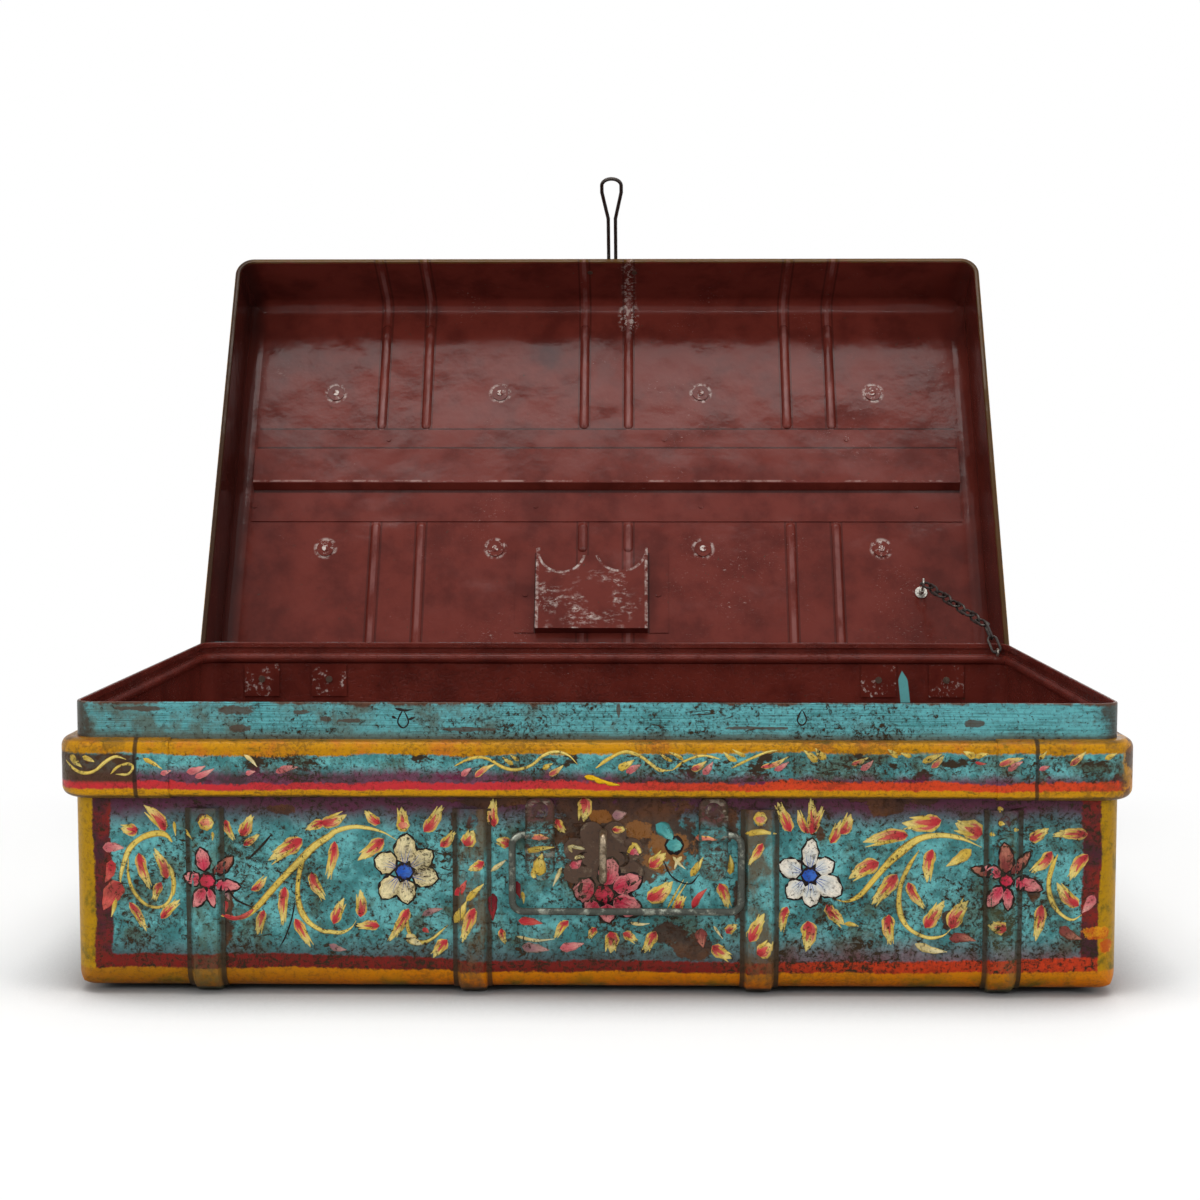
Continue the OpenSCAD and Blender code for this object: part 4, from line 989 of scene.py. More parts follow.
FITTINGS = {
    "worn_iron": ((116, 100, 82), (70, 46, 28), 0.75, "lock_plate lock_plate_rivets"),
    "staple_iron": ((150, 134, 112), (84, 66, 44), 0.5, "lock_staple"),
    "bail_iron": ((132, 136, 124), (58, 62, 54), 0.62, "bail_handle"),
    "grey_steel": (
        (140, 138, 134), (92, 60, 40), 0.4,
        "hinge_lower_leaves hinge_upper_leaves hinge_upper_rivets hinge_pins",
    ),
    "bright_wire": ((170, 166, 158), (88, 70, 56), 0.3, "chain_base_eye chain_lid_hook"),
    "hasp_iron": (
        (110, 98, 84), (66, 44, 30), 0.7, "hasp_plate hasp_rivets hinge_lower_rivets"
    ),
    "dark_iron": (
        (74, 68, 64), (40, 30, 26), 0.55,
        "hasp_wire " + " ".join("chain_links_%d" % k for k in range(1, 7)),
    ),
}
for name, (metal, rust, rusted, nodes) in FITTINGS.items():
    fitting = material(name)
    iron = iron_of(coordinates()[0], metal, rust, rusted)
    shade(iron["Colour"], iron["Roughness"], iron["Height"], 0.15, iron["Metallic"], 0.5)
    dress(fitting, *nodes.split())
print(len(FITTINGS), "materials of bare fittings")

# %% [markdown]
# Rivets outside were painted over with the panel and have rubbed on their tops. Rivets, washers
# and plates inside share the oxide red of the lid, but are dirtier, with pale scuffs.


# %% Rivets of the tray
def finish_rivets(place, ground, coat, inner):
    """Ends a rivets' material: rubbed paint outside, and a plain coat where inner is 1."""
    iron = iron_of(place, (120, 108, 96), (74, 50, 44), 0.7)
    bare = ease(noise(place, 190, 4, 0.7), 0.42, 0.54)
    colour = blend(inner, blend(bare, ground["Colour"], iron["Colour"]), coat)
    shade(colour, 0.42, iron["Height"], 0.15, bare * iron["Metallic"] * (1.0 - inner))


painted_rivets = material("painted_rivets")
place, mm = coordinates()
_, y, z = split(mm)
ground = use(tray_ground, Place=place, Place_mm=mm, Half=(*BODY_HALF, 0))
inner = ease(abs(y), 180.3, 179.9) * ease(z, 1.0, 1.4)
finish_rivets(place, ground, OXIDE, inner)
dress(painted_rivets, "body_strap_rivets", "lug_rivets")
print("rivets of the tray:", len(tree.nodes), "nodes")

# %% Rivets of the lid, and inside fittings
lid_rivet_paint = material("lid_rivet_paint")
place, mm = lid_coordinates()
ground = use(lid_ground, Place=place, Closed_mm=mm)
coat = use(oxide_coat, Place=place)["Colour"]
coat = blend(ease(noise(place, 240, 4, 0.7), 0.48, 0.56), coat, CHALK)
finish_rivets(place, ground, coat, ease(split(mm)[2], 223.4, 222.8))
dress(lid_rivet_paint, "lid_strap_rivets")

oxide_hardware = material("oxide_hardware")
place = coordinates()[0]
inside = use(oxide_coat, Place=place)
rubbed = ease(noise(place, 60, 3), 0.44, 0.56)
scuffs = ease(noise(place, 300, 6, 0.75), 0.54, 0.64) * (rubbed * 0.75)
colour = blend(scuffs, inside["Colour"], CHALK)
shade(colour, inside["Roughness"], inside["Height"], 0.6, specular=0.14)
dress(oxide_hardware, "stiffener_rivets", "pocket_rivets", "burr_washers", "hinge_backing_plates")
print("all fittings have a finish")

# %% [markdown]
# ## Brushwork
# The flowers and leaves are real strokes here, not a picture. Each one is a thin closed ribbon
# that follows its face: a grid of points is dropped on the solid along the face's direction, and
# lifted by the thickness of the paint. So the strokes climb over straps and rivets as paint does.
#
# A face to paint on is a search tree of its solids, with a middle, a right and an up direction.

# %% Faces to paint on
UP = (0, 0, 1)
SIDES = {  # the direction to the right and the direction out of the face
    "front": ((1, 0, 0), (0, -1, 0)), "back": ((-1, 0, 0), (0, 1, 0)),
    "left": ((0, -1, 0), (-1, 0, 0)), "right": ((0, 1, 0), (1, 0, 0)), "top": ((1, 0, 0), UP),
}
BANDS = ["rim_band_front", "rim_band_back", "rim_band_left", "rim_band_right", "rim_corner_caps"]
FRONT_NODES = ["handle_lugs", "lock_plate", "lock_plate_rivets", "body_strap_rivets", "lug_rivets"]


def face(name, slot, distance, nodes):
    """A face by its name, whose last word is its side, and its distance from the middle."""
    points, triangles = [], []
    for node in nodes:
        mesh = NODES[node].data
        mesh.calc_loop_triangles()
        first = len(points)
        points += [v.co.copy() for v in mesh.vertices]
        triangles += [tuple(first + v for v in t.vertices) for t in mesh.loop_triangles]
    right, out = SIDES[name.split("_")[-1]]
    middle = (out[0] * distance, MIDDLE_Y + out[1] * distance, out[2] * distance)
    up = (0, 1, 0) if out == UP else UP
    body = "lid" if name.startswith("lid") else "base"
    if body == "lid":
        zero, middle = to_open((0, 0, 0)), to_open(middle)
        right, up = to_open(right) - zero, to_open(up) - zero
    right, up = Vector(right), Vector(up)
    return {
        "name": name, "body": body, "slot": slot, "pieces": {},
        "tree": BVHTree.FromPolygons(points, triangles),
        "middle": Vector(middle) * MM, "right": right, "up": up, "out": right.cross(up),
    }


print("a face has a direction to its right, up and outward")

# %% All faces
FACES = {
    name: face(name, slot, distance, nodes)
    for name, slot, distance, nodes in (
        ("front", "painted_panels", 180.9, ["body_wrap", *FRONT_NODES, *STRAPS]),
        ("back", "painted_panels", 180.9, ["body_wrap", "body_strap_rivets", *STRAPS]),
        ("left", "painted_panels", 310.9, ["end_panel_left"]),
        ("right", "painted_panels", 310.9, ["end_panel_right"]),
        ("neck_front", "painted_neck", 180, ["neck_front"]),
        ("band_front", "painted_band", 188.5, BANDS),
        ("band_back", "painted_band", 188.5, BANDS),
        ("band_left", "painted_band", 318.5, BANDS),
        ("band_right", "painted_band", 318.5, BANDS),
        ("lid_top", "painted_lid", LID_TOP, ["lid_wrap", "lid_strap_rivets", *LID_STRAP_NODES]),
        ("lid_front", "painted_lid", 182.4, ["lid_wrap", *LID_STRAP_NODES]),
        ("lid_left", "painted_lid", 312.4, ["lid_end_left", "lid_wrap"]),
        ("lid_right", "painted_lid", 312.4, ["lid_end_right", "lid_wrap"]),
    )
}
print(len(FACES), "faces to paint on")

# %% [markdown]
# A brush is loaded with two paints, so each stroke has a root colour, a tip colour and an edge
# colour. They are stored on the mesh's points, with how far along and across the stroke a point
# is, and the brushwork material mixes them with bristle lines.

# %% Loaded brushes: root, tip and edge colour of each kind of stroke
BRUSHES = {
    "d": ((198, 84, 82), (228, 208, 124), (218, 186, 92)),
    "p": ((198, 98, 104), (222, 158, 148), (206, 120, 118)),
    "r": ((184, 48, 56), (210, 96, 84), (204, 82, 72)),
    "y": ((206, 172, 68), (232, 210, 118), (200, 164, 72)),
    "c": ((220, 200, 140), (236, 224, 176), (206, 184, 110)),
    "k": ((110, 24, 34), (150, 40, 44), (110, 24, 34)),
    "f": ((146, 104, 108), (184, 140, 132), (150, 120, 110)),
    "b": ((130, 60, 56), (190, 120, 100), (120, 60, 50)),
    "w": ((206, 190, 150), (236, 222, 172), (222, 204, 150)),
    "white petal": ((206, 208, 204), (240, 232, 216), (226, 218, 200)),
    "blue streak": ((34, 84, 176), (96, 128, 168), (84, 110, 140)),
    "petal": ((196, 66, 86), (222, 140, 138), (208, 120, 122)),
    "bronze petal": ((124, 52, 50), (184, 116, 96), (150, 84, 70)),
    "outline": ((28, 18, 18), (34, 24, 22), (28, 18, 18)),
    "scroll": ((222, 192, 88), (236, 212, 116), (184, 148, 56)),
    "crimson": ((190, 36, 66), (208, 60, 84), (160, 24, 50)),
    "blue": ((36, 84, 176), (60, 108, 196), (30, 60, 130)),
    "turquoise": ((70, 150, 150), (104, 182, 176), (52, 108, 104)),
    "peach": ((214, 118, 96), (232, 150, 120), (220, 170, 90)),
    "ochre": ((222, 170, 14), (232, 190, 30), (150, 104, 14)),
}
LEAF = lambda t: math.sin(math.pi * t ** 0.6) ** 0.8
PETAL = lambda t: math.sin(math.pi * t ** 0.82) ** 0.5
LINE = lambda t: min(1.0, 6 * t + 0.25, 6 * (1 - t) + 0.12)
print(len(BRUSHES), "loaded brushes")


# %% The path of a stroke
DROP_FROM = 40  # how far outside a face points are dropped, in mm
DROP_REACH = 0.08  # how far they fall at most, in metres
COLUMN = 1.5  # the space between points across a stroke, in mm
LEAST_HALF = 0.22  # half of the finest line, in mm
SUNK = -0.1  # where a stroke's underside lies, in mm


def smooth_path(points, step):
    """Points at even steps on a smooth curve through the given ones."""
    p = np.array(points, float)
    if len(p) > 2:
        q = np.vstack([2 * p[0] - p[1], p, 2 * p[-1] - p[-2]])
        t = np.linspace(0, 1, 10, endpoint=False)[:, None]
        spans = []
        for a, b, c, d in zip(q, q[1:], q[2:], q[3:]):
            square, cube = 2 * a - 5 * b + 4 * c - d, 3 * b - a - 3 * c + d
            spans.append((2 * b + (c - a) * t + square * t**2 + cube * t**3) / 2)
        p = np.vstack(spans + [q[-2:-1]])
    run = np.concatenate([[0], np.cumsum(np.linalg.norm(np.diff(p, axis=0), axis=1))])
    at = np.linspace(0, run[-1], max(7, int(run[-1] / step) + 1))
    return np.column_stack([np.interp(at, run, p[:, k]) for k in (0, 1)])


print("a bend of three points becomes", len(smooth_path([(0, 0), (5, 3), (10, 0)], 1.8)), "points")


# %% One stroke of the brush
def drop(face, x, y):
    """Drops a point of a face, in mm, on its solids: start, hit, the hit's normal and depth."""
    off = face["right"] * x + face["up"] * y + face["out"] * DROP_FROM
    start = face["middle"] + off * MM
    hit, normal, _, depth = face["tree"].ray_cast(start, -face["out"], DROP_REACH)
    return start, hit, normal, depth


def lay(face, piece, path, width, shape, lift, brush, step=1.8):
    """Lays a stroke on a face. The path is in mm right of and above the face's middle."""
    empty = {key: [] for key in ("points", "faces", "stroke", "root", "tip", "edge")}
    store = face["pieces"].setdefault(piece, empty)
    begin, middle, end = width if isinstance(width, tuple) else (width, width, width)
    path = smooth_path(path, step)
    rows, across = len(path), max(3, min(7, int(max(begin, middle, end) / COLUMN) + 2))
    ahead = np.gradient(path, axis=0)
    ahead /= np.linalg.norm(ahead, axis=1)[:, None] + 1e-9
    if any(drop(face, *q)[1] is None for q in path):
        return
    first, seed, depth = len(store["points"]), random.random(), 0.06
    colours = [paint(*c) for c in BRUSHES[brush]]
    for top in (True, False):
        for r in range(rows):
            t = r / (rows - 1)
            wide = begin + (middle - begin) * min(1, 2 * t) + (end - middle) * max(0, 2 * t - 1)
            half = max(LEAST_HALF, wide / 2 * shape(t))
            for c in range(across):
                v = 2 * c / (across - 1) - 1
                reach = v * half * (1 + 0.09 * math.sin(seed * 40 + 17 * t + 3 * v))
                x, y = path[r][0] - ahead[r][1] * reach, path[r][1] + ahead[r][0] * reach
                start, hit, normal, far = drop(face, x, y)
                if hit is None:
                    hit, normal = start - face["out"] * depth, face["out"]
                else:
                    depth = far
                rise = lift * (0.35 + 0.65 * (1 - v * v)) if top else SUNK
                store["points"].append(hit + (normal + face["out"]).normalized() * rise * MM)
                store["stroke"].append((t, v, seed))
                for key, colour in zip(("root", "tip", "edge"), colours):
                    store[key].append(colour)
    size = rows * across
    for r in range(rows - 1):
        for c in range(across - 1):
            a = first + r * across + c
            corners = (a, a + 1, a + across + 1, a + across)
            store["faces"].append(corners)
            store["faces"].append(tuple(k + size for k in reversed(corners)))
    rim = [r * across for r in range(rows)] + [(rows - 1) * across + c for c in range(1, across)]
    rim += [r * across + across - 1 for r in range(rows - 2, -1, -1)]
    rim += range(across - 2, 0, -1)
    for a, b in zip(rim, rim[1:] + rim[:1]):
        store["faces"].append((first + a, first + b, first + b + size, first + a + size))


print("brush ready: leaf at half length is", round(LEAF(0.5), 2), "of its full width")

# %% [markdown]
# A painter never draws the same leaf twice, so each dab gets a small bend. A flower is a ring of
# petals round a heart. Each petal has a dark one below it, a little larger, as its outline.


# %% Dabs and leaves
def bend_path(x0, y0, x1, y1, amount):
    """Three points from root to tip with a small sideways bend."""
    mx, my = (x0 + x1) / 2, (y0 + y1) / 2
    return [(x0, y0), (mx - (y1 - y0) * amount, my + (x1 - x0) * amount), (x1, y1)]


def dab(face, kind, x0, y0, x1, y1, width):
    """One leaf. A loaded brush, d, fans out at both sides and has a red core."""
    path = bend_path(x0, y0, x1, y1, random.uniform(-0.10, 0.10))
    lay(face, "leaves", path, width, LEAF, 0.15, kind)
    if kind == "d":
        dx, dy = x1 - x0, y1 - y0
        for side in (-1, 1):
            fan = side * random.uniform(0.16, 0.38) * width / math.hypot(dx, dy)
            reach = random.uniform(0.8, 1.02)
            root = (x0 + dx * 0.25 - dy * fan * 0.5, y0 + dy * 0.25 + dx * fan * 0.5)
            tip = (x0 + dx * reach - dy * fan, y0 + dy * reach + dx * fan)
            lay(face, "leaves", [root, tip], width * 0.3, LEAF, 0.19, "y")
        core = [(x0 + (x - x0) * 0.66, y0 + (y - y0) * 0.66) for x, y in path]
        lay(face, "leaves", core, width * 0.56, LEAF, 0.23, "r")


print("a dab has a bend, and a loaded one a fan and a core")


# %% Round spots and flowers
def spot(face, piece, x, y, radius, brush, lift):
    """A round spot, laid as one short fat stroke."""
    circle = lambda t: math.sqrt(max(0.0, 1 - (2 * t - 1) ** 2))
    path = [(x - radius, y), (x, y + 0.01), (x + radius, y)]
    lay(face, piece, path, 2 * radius, circle, lift, brush, 1.2)


PETAL_BRUSHES = {"p": "petal", "b": "bronze petal"}
# Each petal's streaks: how far to the side, how wide, and in which paint.
STREAKS = {
    "w": ((-0.16, 0.0, 0.17), 0.13, "blue streak"), "p": ((0.0,), 0.40, "crimson"),
    "b": ((), 0, ""),
}


def flower(face, heart, x, y, radius, petals):
    pale = "white petal" if x > 0 else "w"
    for kind, x0, y0, x1, y1, width in petals:
        bend = random.uniform(-0.05, 0.05)
        dx, dy = x1 - x0, y1 - y0
        wide, grow = width * 1.3, 1.0 / math.hypot(dx, dy)
        outer = bend_path(x0 - dx * grow, y0 - dy * grow, x1 + dx * grow, y1 + dy * grow, bend)
        lay(face, "flowers", outer, wide + 2.0, PETAL, 0.12, "outline")
        inner = bend_path(x0, y0, x1, y1, bend)
        lay(face, "flowers", inner, wide, PETAL, 0.20, PETAL_BRUSHES.get(kind, pale))
        sides, streak, brush = STREAKS[kind]
        for side in sides:
            reach = random.uniform(0.4, 0.62) if kind == "w" else 0.6
            root = (x0 - dy * side * 0.3, y0 + dx * side * 0.3)
            tip = (x0 + dx * reach - dy * side, y0 + dy * reach + dx * side)
            lay(face, "flowers", bend_path(*root, *tip, bend), width * streak, LEAF, 0.24, brush)
    spot(face, "flowers", x, y, radius + 0.9, "outline", 0.25)
    spot(face, "flowers", x, y, radius, heart, 0.32)


print("flower helpers ready")

# %% [markdown]
# ## The front
# These are the strokes of the front, one after another, as kind, root, tip and width in mm.
# Folk painters work the same way: scrolls first, then the leaves along them, then the flowers.
# A scroll is its width, or its three widths, and then its points. A flower is the paint, the
# middle and the radius of its heart, and then its petals.

# %% Leaves of the front
LEAVES = '''
d -255.1 99 -267.7 114.4 7.2; d -271.5 100 -281.7 100.5 7.7; d -271.3 85.5 -264.9 63.7 6.6;
d -254.6 70 -262 88.6 6.1; d -258.2 67.9 -262.6 56.9 5.6; d -277.4 55.8 -267.4 38.2 5.1;
d -258.6 46 -247.1 57.5 5.6; p -292.7 88.6 -279.9 88.6 6.1; r -287.7 81.2 -291.6 67.8 6.1;
r -282.3 67.8 -292.9 51.1 11.3; y -285.6 58.5 -288.3 47 2.9; y -249.9 104.6 -249 95.9 2;
y -242.9 100.1 -238.8 94.3 1.8; y -226.5 99 -226.6 93.8 1.8; d -219.3 105.7 -214.8 93.3 4.6;
d -210.2 95.9 -203.9 108.9 7.7; d -208.7 90.3 -198.9 97 4.6; d -173.8 94.4 -194 81.4 9.7;
d -160.5 104.8 -171.8 99.7 6.1; d -204.5 63.3 -195.1 71.6 4.6; d -184.4 65.4 -185.8 42 6.1;
d -197 51.3 -201.2 36.2 5.6; d -168.5 74.3 -160.4 57.7 6.1; d -178.5 46.2 -169.5 29.1 6.1;
r -219.9 57 -220 49.8 2.9; f -220.4 62.7 -217.1 57 2.6; d -162.6 103.8 -147.2 109 7.2;
d -127.3 103.8 -136.4 111.5 6.1; d -113.6 100.3 -114.5 113.7 7.2; d -101.3 98.8 -90.5 114.8 7.7;
d -91.7 90 -83 99.3 6.1; d -76.8 91 -71.7 100.4 9.2; d -65.7 81.7 -74.9 76.6 6.1;
r -83.2 61 -76 70.4 4.6; y -83.3 44.3 -76.1 57.9 5.6; y -76.1 57.9 -65.8 68.3 4.1;
d -71.4 53.7 -78.7 32.9 7.2; d -59.5 101.9 -60.2 119 6.6; d -50.4 90.6 -58.5 94.2 7.2;
c -61.6 75.5 -52.4 82.3 2.9; k -60.6 62 -60.7 45.4 5.6; d -154.5 92.9 -158.8 70.2 6.1;
d -125.3 94.5 -140.8 81.5 8.2; d -155.5 43.1 -149.2 58.8 6.6; d -139.6 47.3 -139.5 63.9 6.6;
d -128.3 42.1 -142.1 42.1 6.1; d -110.8 52.6 -122.3 32.8 6.6; f -102.7 48.5 -90.4 52.6 4.1;
c -112 37 -102.8 30.8 6.1; r -102.7 40.2 -98.7 38.1 3.1; d -87.9 33.9 -96.2 22.9 7.2;
f -158.2 30.7 -148 27.5 4.1; r -45.4 45.5 -31.1 43.9 5.1; d -15.7 45.6 -23.9 35.1 5.1;
c -46.4 36.1 -23.9 34.6 2; d -55.7 40.8 -53.4 31.4 4.6; f -43.4 29.9 -27.1 27.9 6.1;
p -20.8 28.9 -6.5 32 5.6; k -46.3 69.4 -44.3 59 4.1; y -43.3 63.1 -42.3 55.9 2.3;
d -22.8 106.6 -17.7 98.4 5.6; c -19.7 77.7 -24.9 66.3 2.6; d -7.1 119.7 -6.6 105.2 8.5;
f 10.3 109.1 18.8 110.6 6.4; d 10.3 100.9 18.8 101 4.5; d 32.5 78 42 86.6 8;
c 46.2 84.4 53.7 77 2.1; c 51.5 84.5 47.3 77 2.7; y 56.8 72.6 64.2 84.5 4.2;
y 80 73.8 80 85.6 4.2; d 30.9 58.7 46.2 69.5 10.1; y 43.1 53.3 52.6 70.6 1.3;
y 45.5 52.2 54.9 69.3 1.3; d 48.9 52.2 52.7 60.9 6.4; r 57.9 53.3 66.4 65.2 4.2;
d 73.7 68.4 79.1 53.4 6.9; y 88.9 98.5 107.4 98.5 3.7; d 99 93.1 90.6 80.3 5.3;
d 91.9 34 100.3 51.2 8; d 96.1 26.5 105.6 34 9.5; d 115.8 99.6 107.8 117.2 7.4;
d 127.9 98 127.3 120 6.4; d 129 98.6 134.7 114.6 4.8; d 126.4 98.6 119.9 112.4 4.8;
y 139 93.2 144 102.8 5.3; d 114 54.5 110.4 39.5 5.8; d 126.2 46 125.3 27.6 9.5;
d 137.2 55.7 144.5 46 6.4; d -17.8 44.5 -21.5 39.2 5.3; d 0.8 41.3 -3.4 34.8 4.8;
d 9.2 39.2 9.3 26.2 8.5; d 16.7 38.2 25.2 33.3 5.8; d 36.3 39.3 29.5 26.3 6.9;
c 20.9 44.6 32.5 44.1 2.1; b 63.2 41.4 64.4 29.7 7.4; c 70.6 42.6 76 35 1.6;
d 78.2 38.3 84.5 43.7 5.8; d 69.7 30.8 81.3 23.2 8; d 145.2 98.2 151.1 110.3 7.2;
d 139.4 92.7 145.2 106.6 6; d 204.4 106.7 181.3 104.9 10.1; d 184.9 97.7 158.4 93.4 8.4;
d 228.7 98.4 212.7 104.9 11.9; d 168 81.3 150.3 71.6 9.5; d 178.7 74.1 164 56 8.9;
d 199.3 89.3 196.5 69.4 7.2; y 222.4 89.3 207.7 79.1 6.6; d 185.2 69.4 194.9 53.6 6;
d 174.2 50 175.6 31.8 7.8; d 195.7 42.1 206.8 58.5 8.4; d 211.1 41.6 221 58.6 9.5;
b 210 35.5 226 34.4 6; c 189.9 32.4 208.9 27.7 4.8; y 237.4 113.3 241 113.4 3.1;
y 237.5 105.6 241.1 105.3 3.1; y 232.9 99.3 235.8 98.4 2.9; y 246.8 102.2 250 101.3 2.6;
d 243.2 41.6 232.5 44.1 8.4; d 256.6 94.8 267.7 102 7.2; d 290.8 98.5 270.2 98.4 7.2;
d 269.7 88.2 258 75.5 7.2; d 291 86.4 280.7 70.8 7.2; d 286.3 55.7 273 69.6 7.8;
p 295 62.3 288.1 51.4 6; d 264.3 56.2 261.1 34.4 7.2; b 275.2 42.9 288.4 35.7 6.6;
d 138.5 52.3 148.1 43.8 7.2; y 148.1 44.5 156.4 43 2.9'''
print(LEAVES.count(";") + 1, "leaves listed")

# %% Scrolls and flowers of the front
SCROLLS = '''
3.6 3.6 2: -251.2 92.2 -254.7 96.4 -260.8 97.4 -269.1 94.8 -276.3 88.6 -280 80.3 -282.2 71.9
-282.4 65.7;
2 2 1.4: -277.5 82.3 -277.7 71.9 -274.7 62.6 -268.7 55.3 -261.6 52.7 -255.3 54.8 -251.7 61.6
-251.5 70 -254 78.3 -256.9 83.4;
2.6 4.6 1.5: -222.6 48.2 -215.4 46.1 -208.2 47.7 -201 53.4 -192.7 62.8 -183.3 73.2 -175 81.5
-166.7 89.9 -157.7 96 -153.4 99.2 -143.1 101.7 -133 100.7 -124.9 98.2 -117.7 94;
2.3 3.6 1.5: -170.9 85.7 -175.1 76.3 -176.8 63.9 -175.3 52.4 -170.4 44.1 -162.2 39 -158.1 38.5
-150.9 38 -144.8 41.1 -142.1 45.2;
2 2.6 1: -112.4 51.5 -110.9 39.1 -105.9 32.3 -97.7 33.9 -87.4 42.7;
1.8 5 1.7: 142.7 59 149.2 57.8 157.5 62 165.7 71.7 173.9 81.3 183.3 89.9 192.6 95.9 204.5 97.7
216.4 95.9 228.3 90.6;
2.1 3.3 1.4: 191.6 88.7 185.7 79 181.1 68.1 180.1 56 182.6 46.4 188.6 39.8 198.1 36.1 206.4 37.4
211.1 41.6;
2.6 3.1 1.4: 273.3 86.4 269.9 78 268.2 68.3 270.2 58.7 275 51.4 282.2 47.2 288.1 50.3'''
FLOWERS = (
    ("crimson", -230, 69.5, 4.6, """
        p -231.6 75.7 -234.1 89.2 6.1; p -234.1 70 -244.3 72 6.3; p -232.1 65.3 -238.5 53.8 5.7;
        p -229.4 64.8 -226.1 53.9 3.7; b -225.8 73.6 -215.4 83.5 5.1; p -225.9 67.4 -211.1 65.4
        5.1"""),
    ("blue", -113, 74.9, 4.9, """
        w -112.7 80.1 -111.5 97.2 9.7; w -109.1 78.1 -96.8 87.4 8.7; w -108.2 72.3 -93.3 70.9
        9.4; w -112.3 69.8 -111.3 55.7 8.4; w -117.3 70.8 -126.3 58.8 9; w -118.3 77.5 -130.6
        82.1 9.8"""),
    ("crimson", 5.5, 61.8, 5.8, """
        p 6.2 67.2 2.4 84.4 9.5; p 6.2 67.2 10.3 83.8 9; p -0.3 62.3 -13 65 11.1; p 10.9 65 27.8
        72 9; p 11.4 59.2 27.8 51.6 9.8; p 1.3 57 -4.5 49.4 7.6; p 7.1 55.9 8.7 44.6 7.4"""),
    ("blue", 127.1, 73.3, 4.5, """
        w 127.4 78.2 128.5 95.3 7; w 130.7 76.6 141.3 81.4 8.1; w 131.3 70.7 145.6 62.1 10.1; w
        127.4 68.6 127.7 54.6 8.5; w 122.9 69.6 114.5 60 8.7; w 122.3 75.5 109.1 80.3 8.9"""),
    ("crimson", 242.7, 71.2, 3.8, """
        b 242.4 76.1 241.1 93.5 6.2; p 239.2 73.7 230.2 79.1 5; b 234.4 75.2 223.1 77.9 4.1; p
        239.9 67.7 232.4 54.9 5.7; p 243 66.5 243.9 53.8 4.5; b 245.7 75.5 256.8 87.6 4.3; p
        246.9 70.1 264.4 65.3 6"""),
)
print(SCROLLS.count(":"), "scrolls and", len(FLOWERS), "flowers listed")

# %% Strokes of the rim band
BAND_LEAVES = '''
y 13.7 137.9 23.2 143.3 4.8; p 18.5 135.8 27.4 140.6 4.2; y 45.8 142.3 37.8 147.6 2.1;
y 52 143.3 43.6 148.1 2.3; d 56.7 137.5 65.6 142.8 4.2; p 63.5 134.8 69.3 142.3 4.2;
y 83.4 142.8 75.5 148.2 3.2; y 88.5 145.5 80.7 149.8 2.5; d 97.5 139.1 113.6 145.6 3.2;
p 105.3 137.5 113.6 142.4 3.4; y 130.4 142.4 122.5 149.3 4.2; y 135.5 144 129.2 150.4 4.7;
d 150.3 140.8 160.1 145.1 3.2; p 155.7 137.9 163.1 143.4 3.7; y 177.4 145 171.5 149.9 3.5;
y 185.3 145.6 179 147.7 3; y 191.8 142.3 203.4 147.2 3.9; d 197.1 139.1 204.5 146.7 3.7;
y 222.6 145.1 215.6 148.9 4.3; y 222.6 145.1 230.5 147.3 3.2; r 222.6 142.4 229 141.5 1.9;
d 236.4 140.8 250.6 145.1 4.1; p 241.7 137.5 250.1 143 3.7; y 259.7 144.6 263.9 149 2.8;
p 259.8 138.1 266.1 140.3 3; d 277.8 140.8 286.7 149 3.9; y 297.9 144.7 305.2 147.9 3.2;
p -78.1 133.5 -72.4 138.3 3.6; d -70.3 133 -58.7 140.5 3.6; y -30.4 137.9 -24.7 141.1 3.2;
d -26.8 134.1 -18.4 140 3.6; y -47.7 140.5 -54 144.8 2.8; y -44.5 142.7 -49.8 146.4 2.1;
y -309.6 145.1 -302.1 138.4 4.5; y -301.5 144.6 -293.9 141.5 3.1; y -265.4 143.7 -254.4 137.5 2.7;
p -240.2 135.4 -229 139.1 4.1; p -235.2 132.3 -223.9 137.5 3.7; c -206.1 145.8 -198.5 138.6 2.5;
p -205.3 134.4 -199.6 136 3.1; p -187.5 135.5 -174.2 138.6 4.1; p -255.4 134.4 -249.3 136.4 3.1'''
BAND_SCROLLS = '''
2: -313.2 141.5 -307.2 136.9 -300.1 134.8 -294 136.4 -287.8 141.6 -281.6 144.7 -275.6 143.1;
1.6: -284.9 134.3 -280.7 138.5 -274.6 140.5 -271.6 138.5 -274.7 134.3 -281.8 134.3;
1.9: -82.3 139.4 -75 143.1 -67.6 144.8 -61.3 143.2 -54 138.9 -46.7 137.3 -37.2 140 -29.9 145.9
-22.5 148 -15.2 145.9 -10 140.6;
2.1: 0.7 138.4 8 143.8 17.4 148.1 25.8 146 32.1 141.7 38.3 137.4 45.8 137.4;
1.5: 45.8 137.4 53.1 142.8 63.4 146 73.9 143.9;
1.5: 80.2 138.6 90.7 143.9 101.1 148.2 107.4 149.3'''
print(BAND_LEAVES.count(";") + 1, "leaves and", BAND_SCROLLS.count(":"), "scrolls on the band")


# %% Read the lists
def read_strokes(text):
    """Turns a list of strokes into (kind, x0, y0, x1, y1, width)."""
    strokes = (item.split() for item in text.split(";"))
    return [(kind, *map(float, numbers)) for kind, *numbers in strokes]


def read_scrolls(text):
    """Turns a list of scrolls into pairs of a path and its three widths."""
    for item in text.split(";"):
        widths, numbers = (list(map(float, part.split())) for part in item.split(":"))
        yield list(zip(numbers[::2], numbers[1::2])), tuple(widths * (3 // len(widths)))


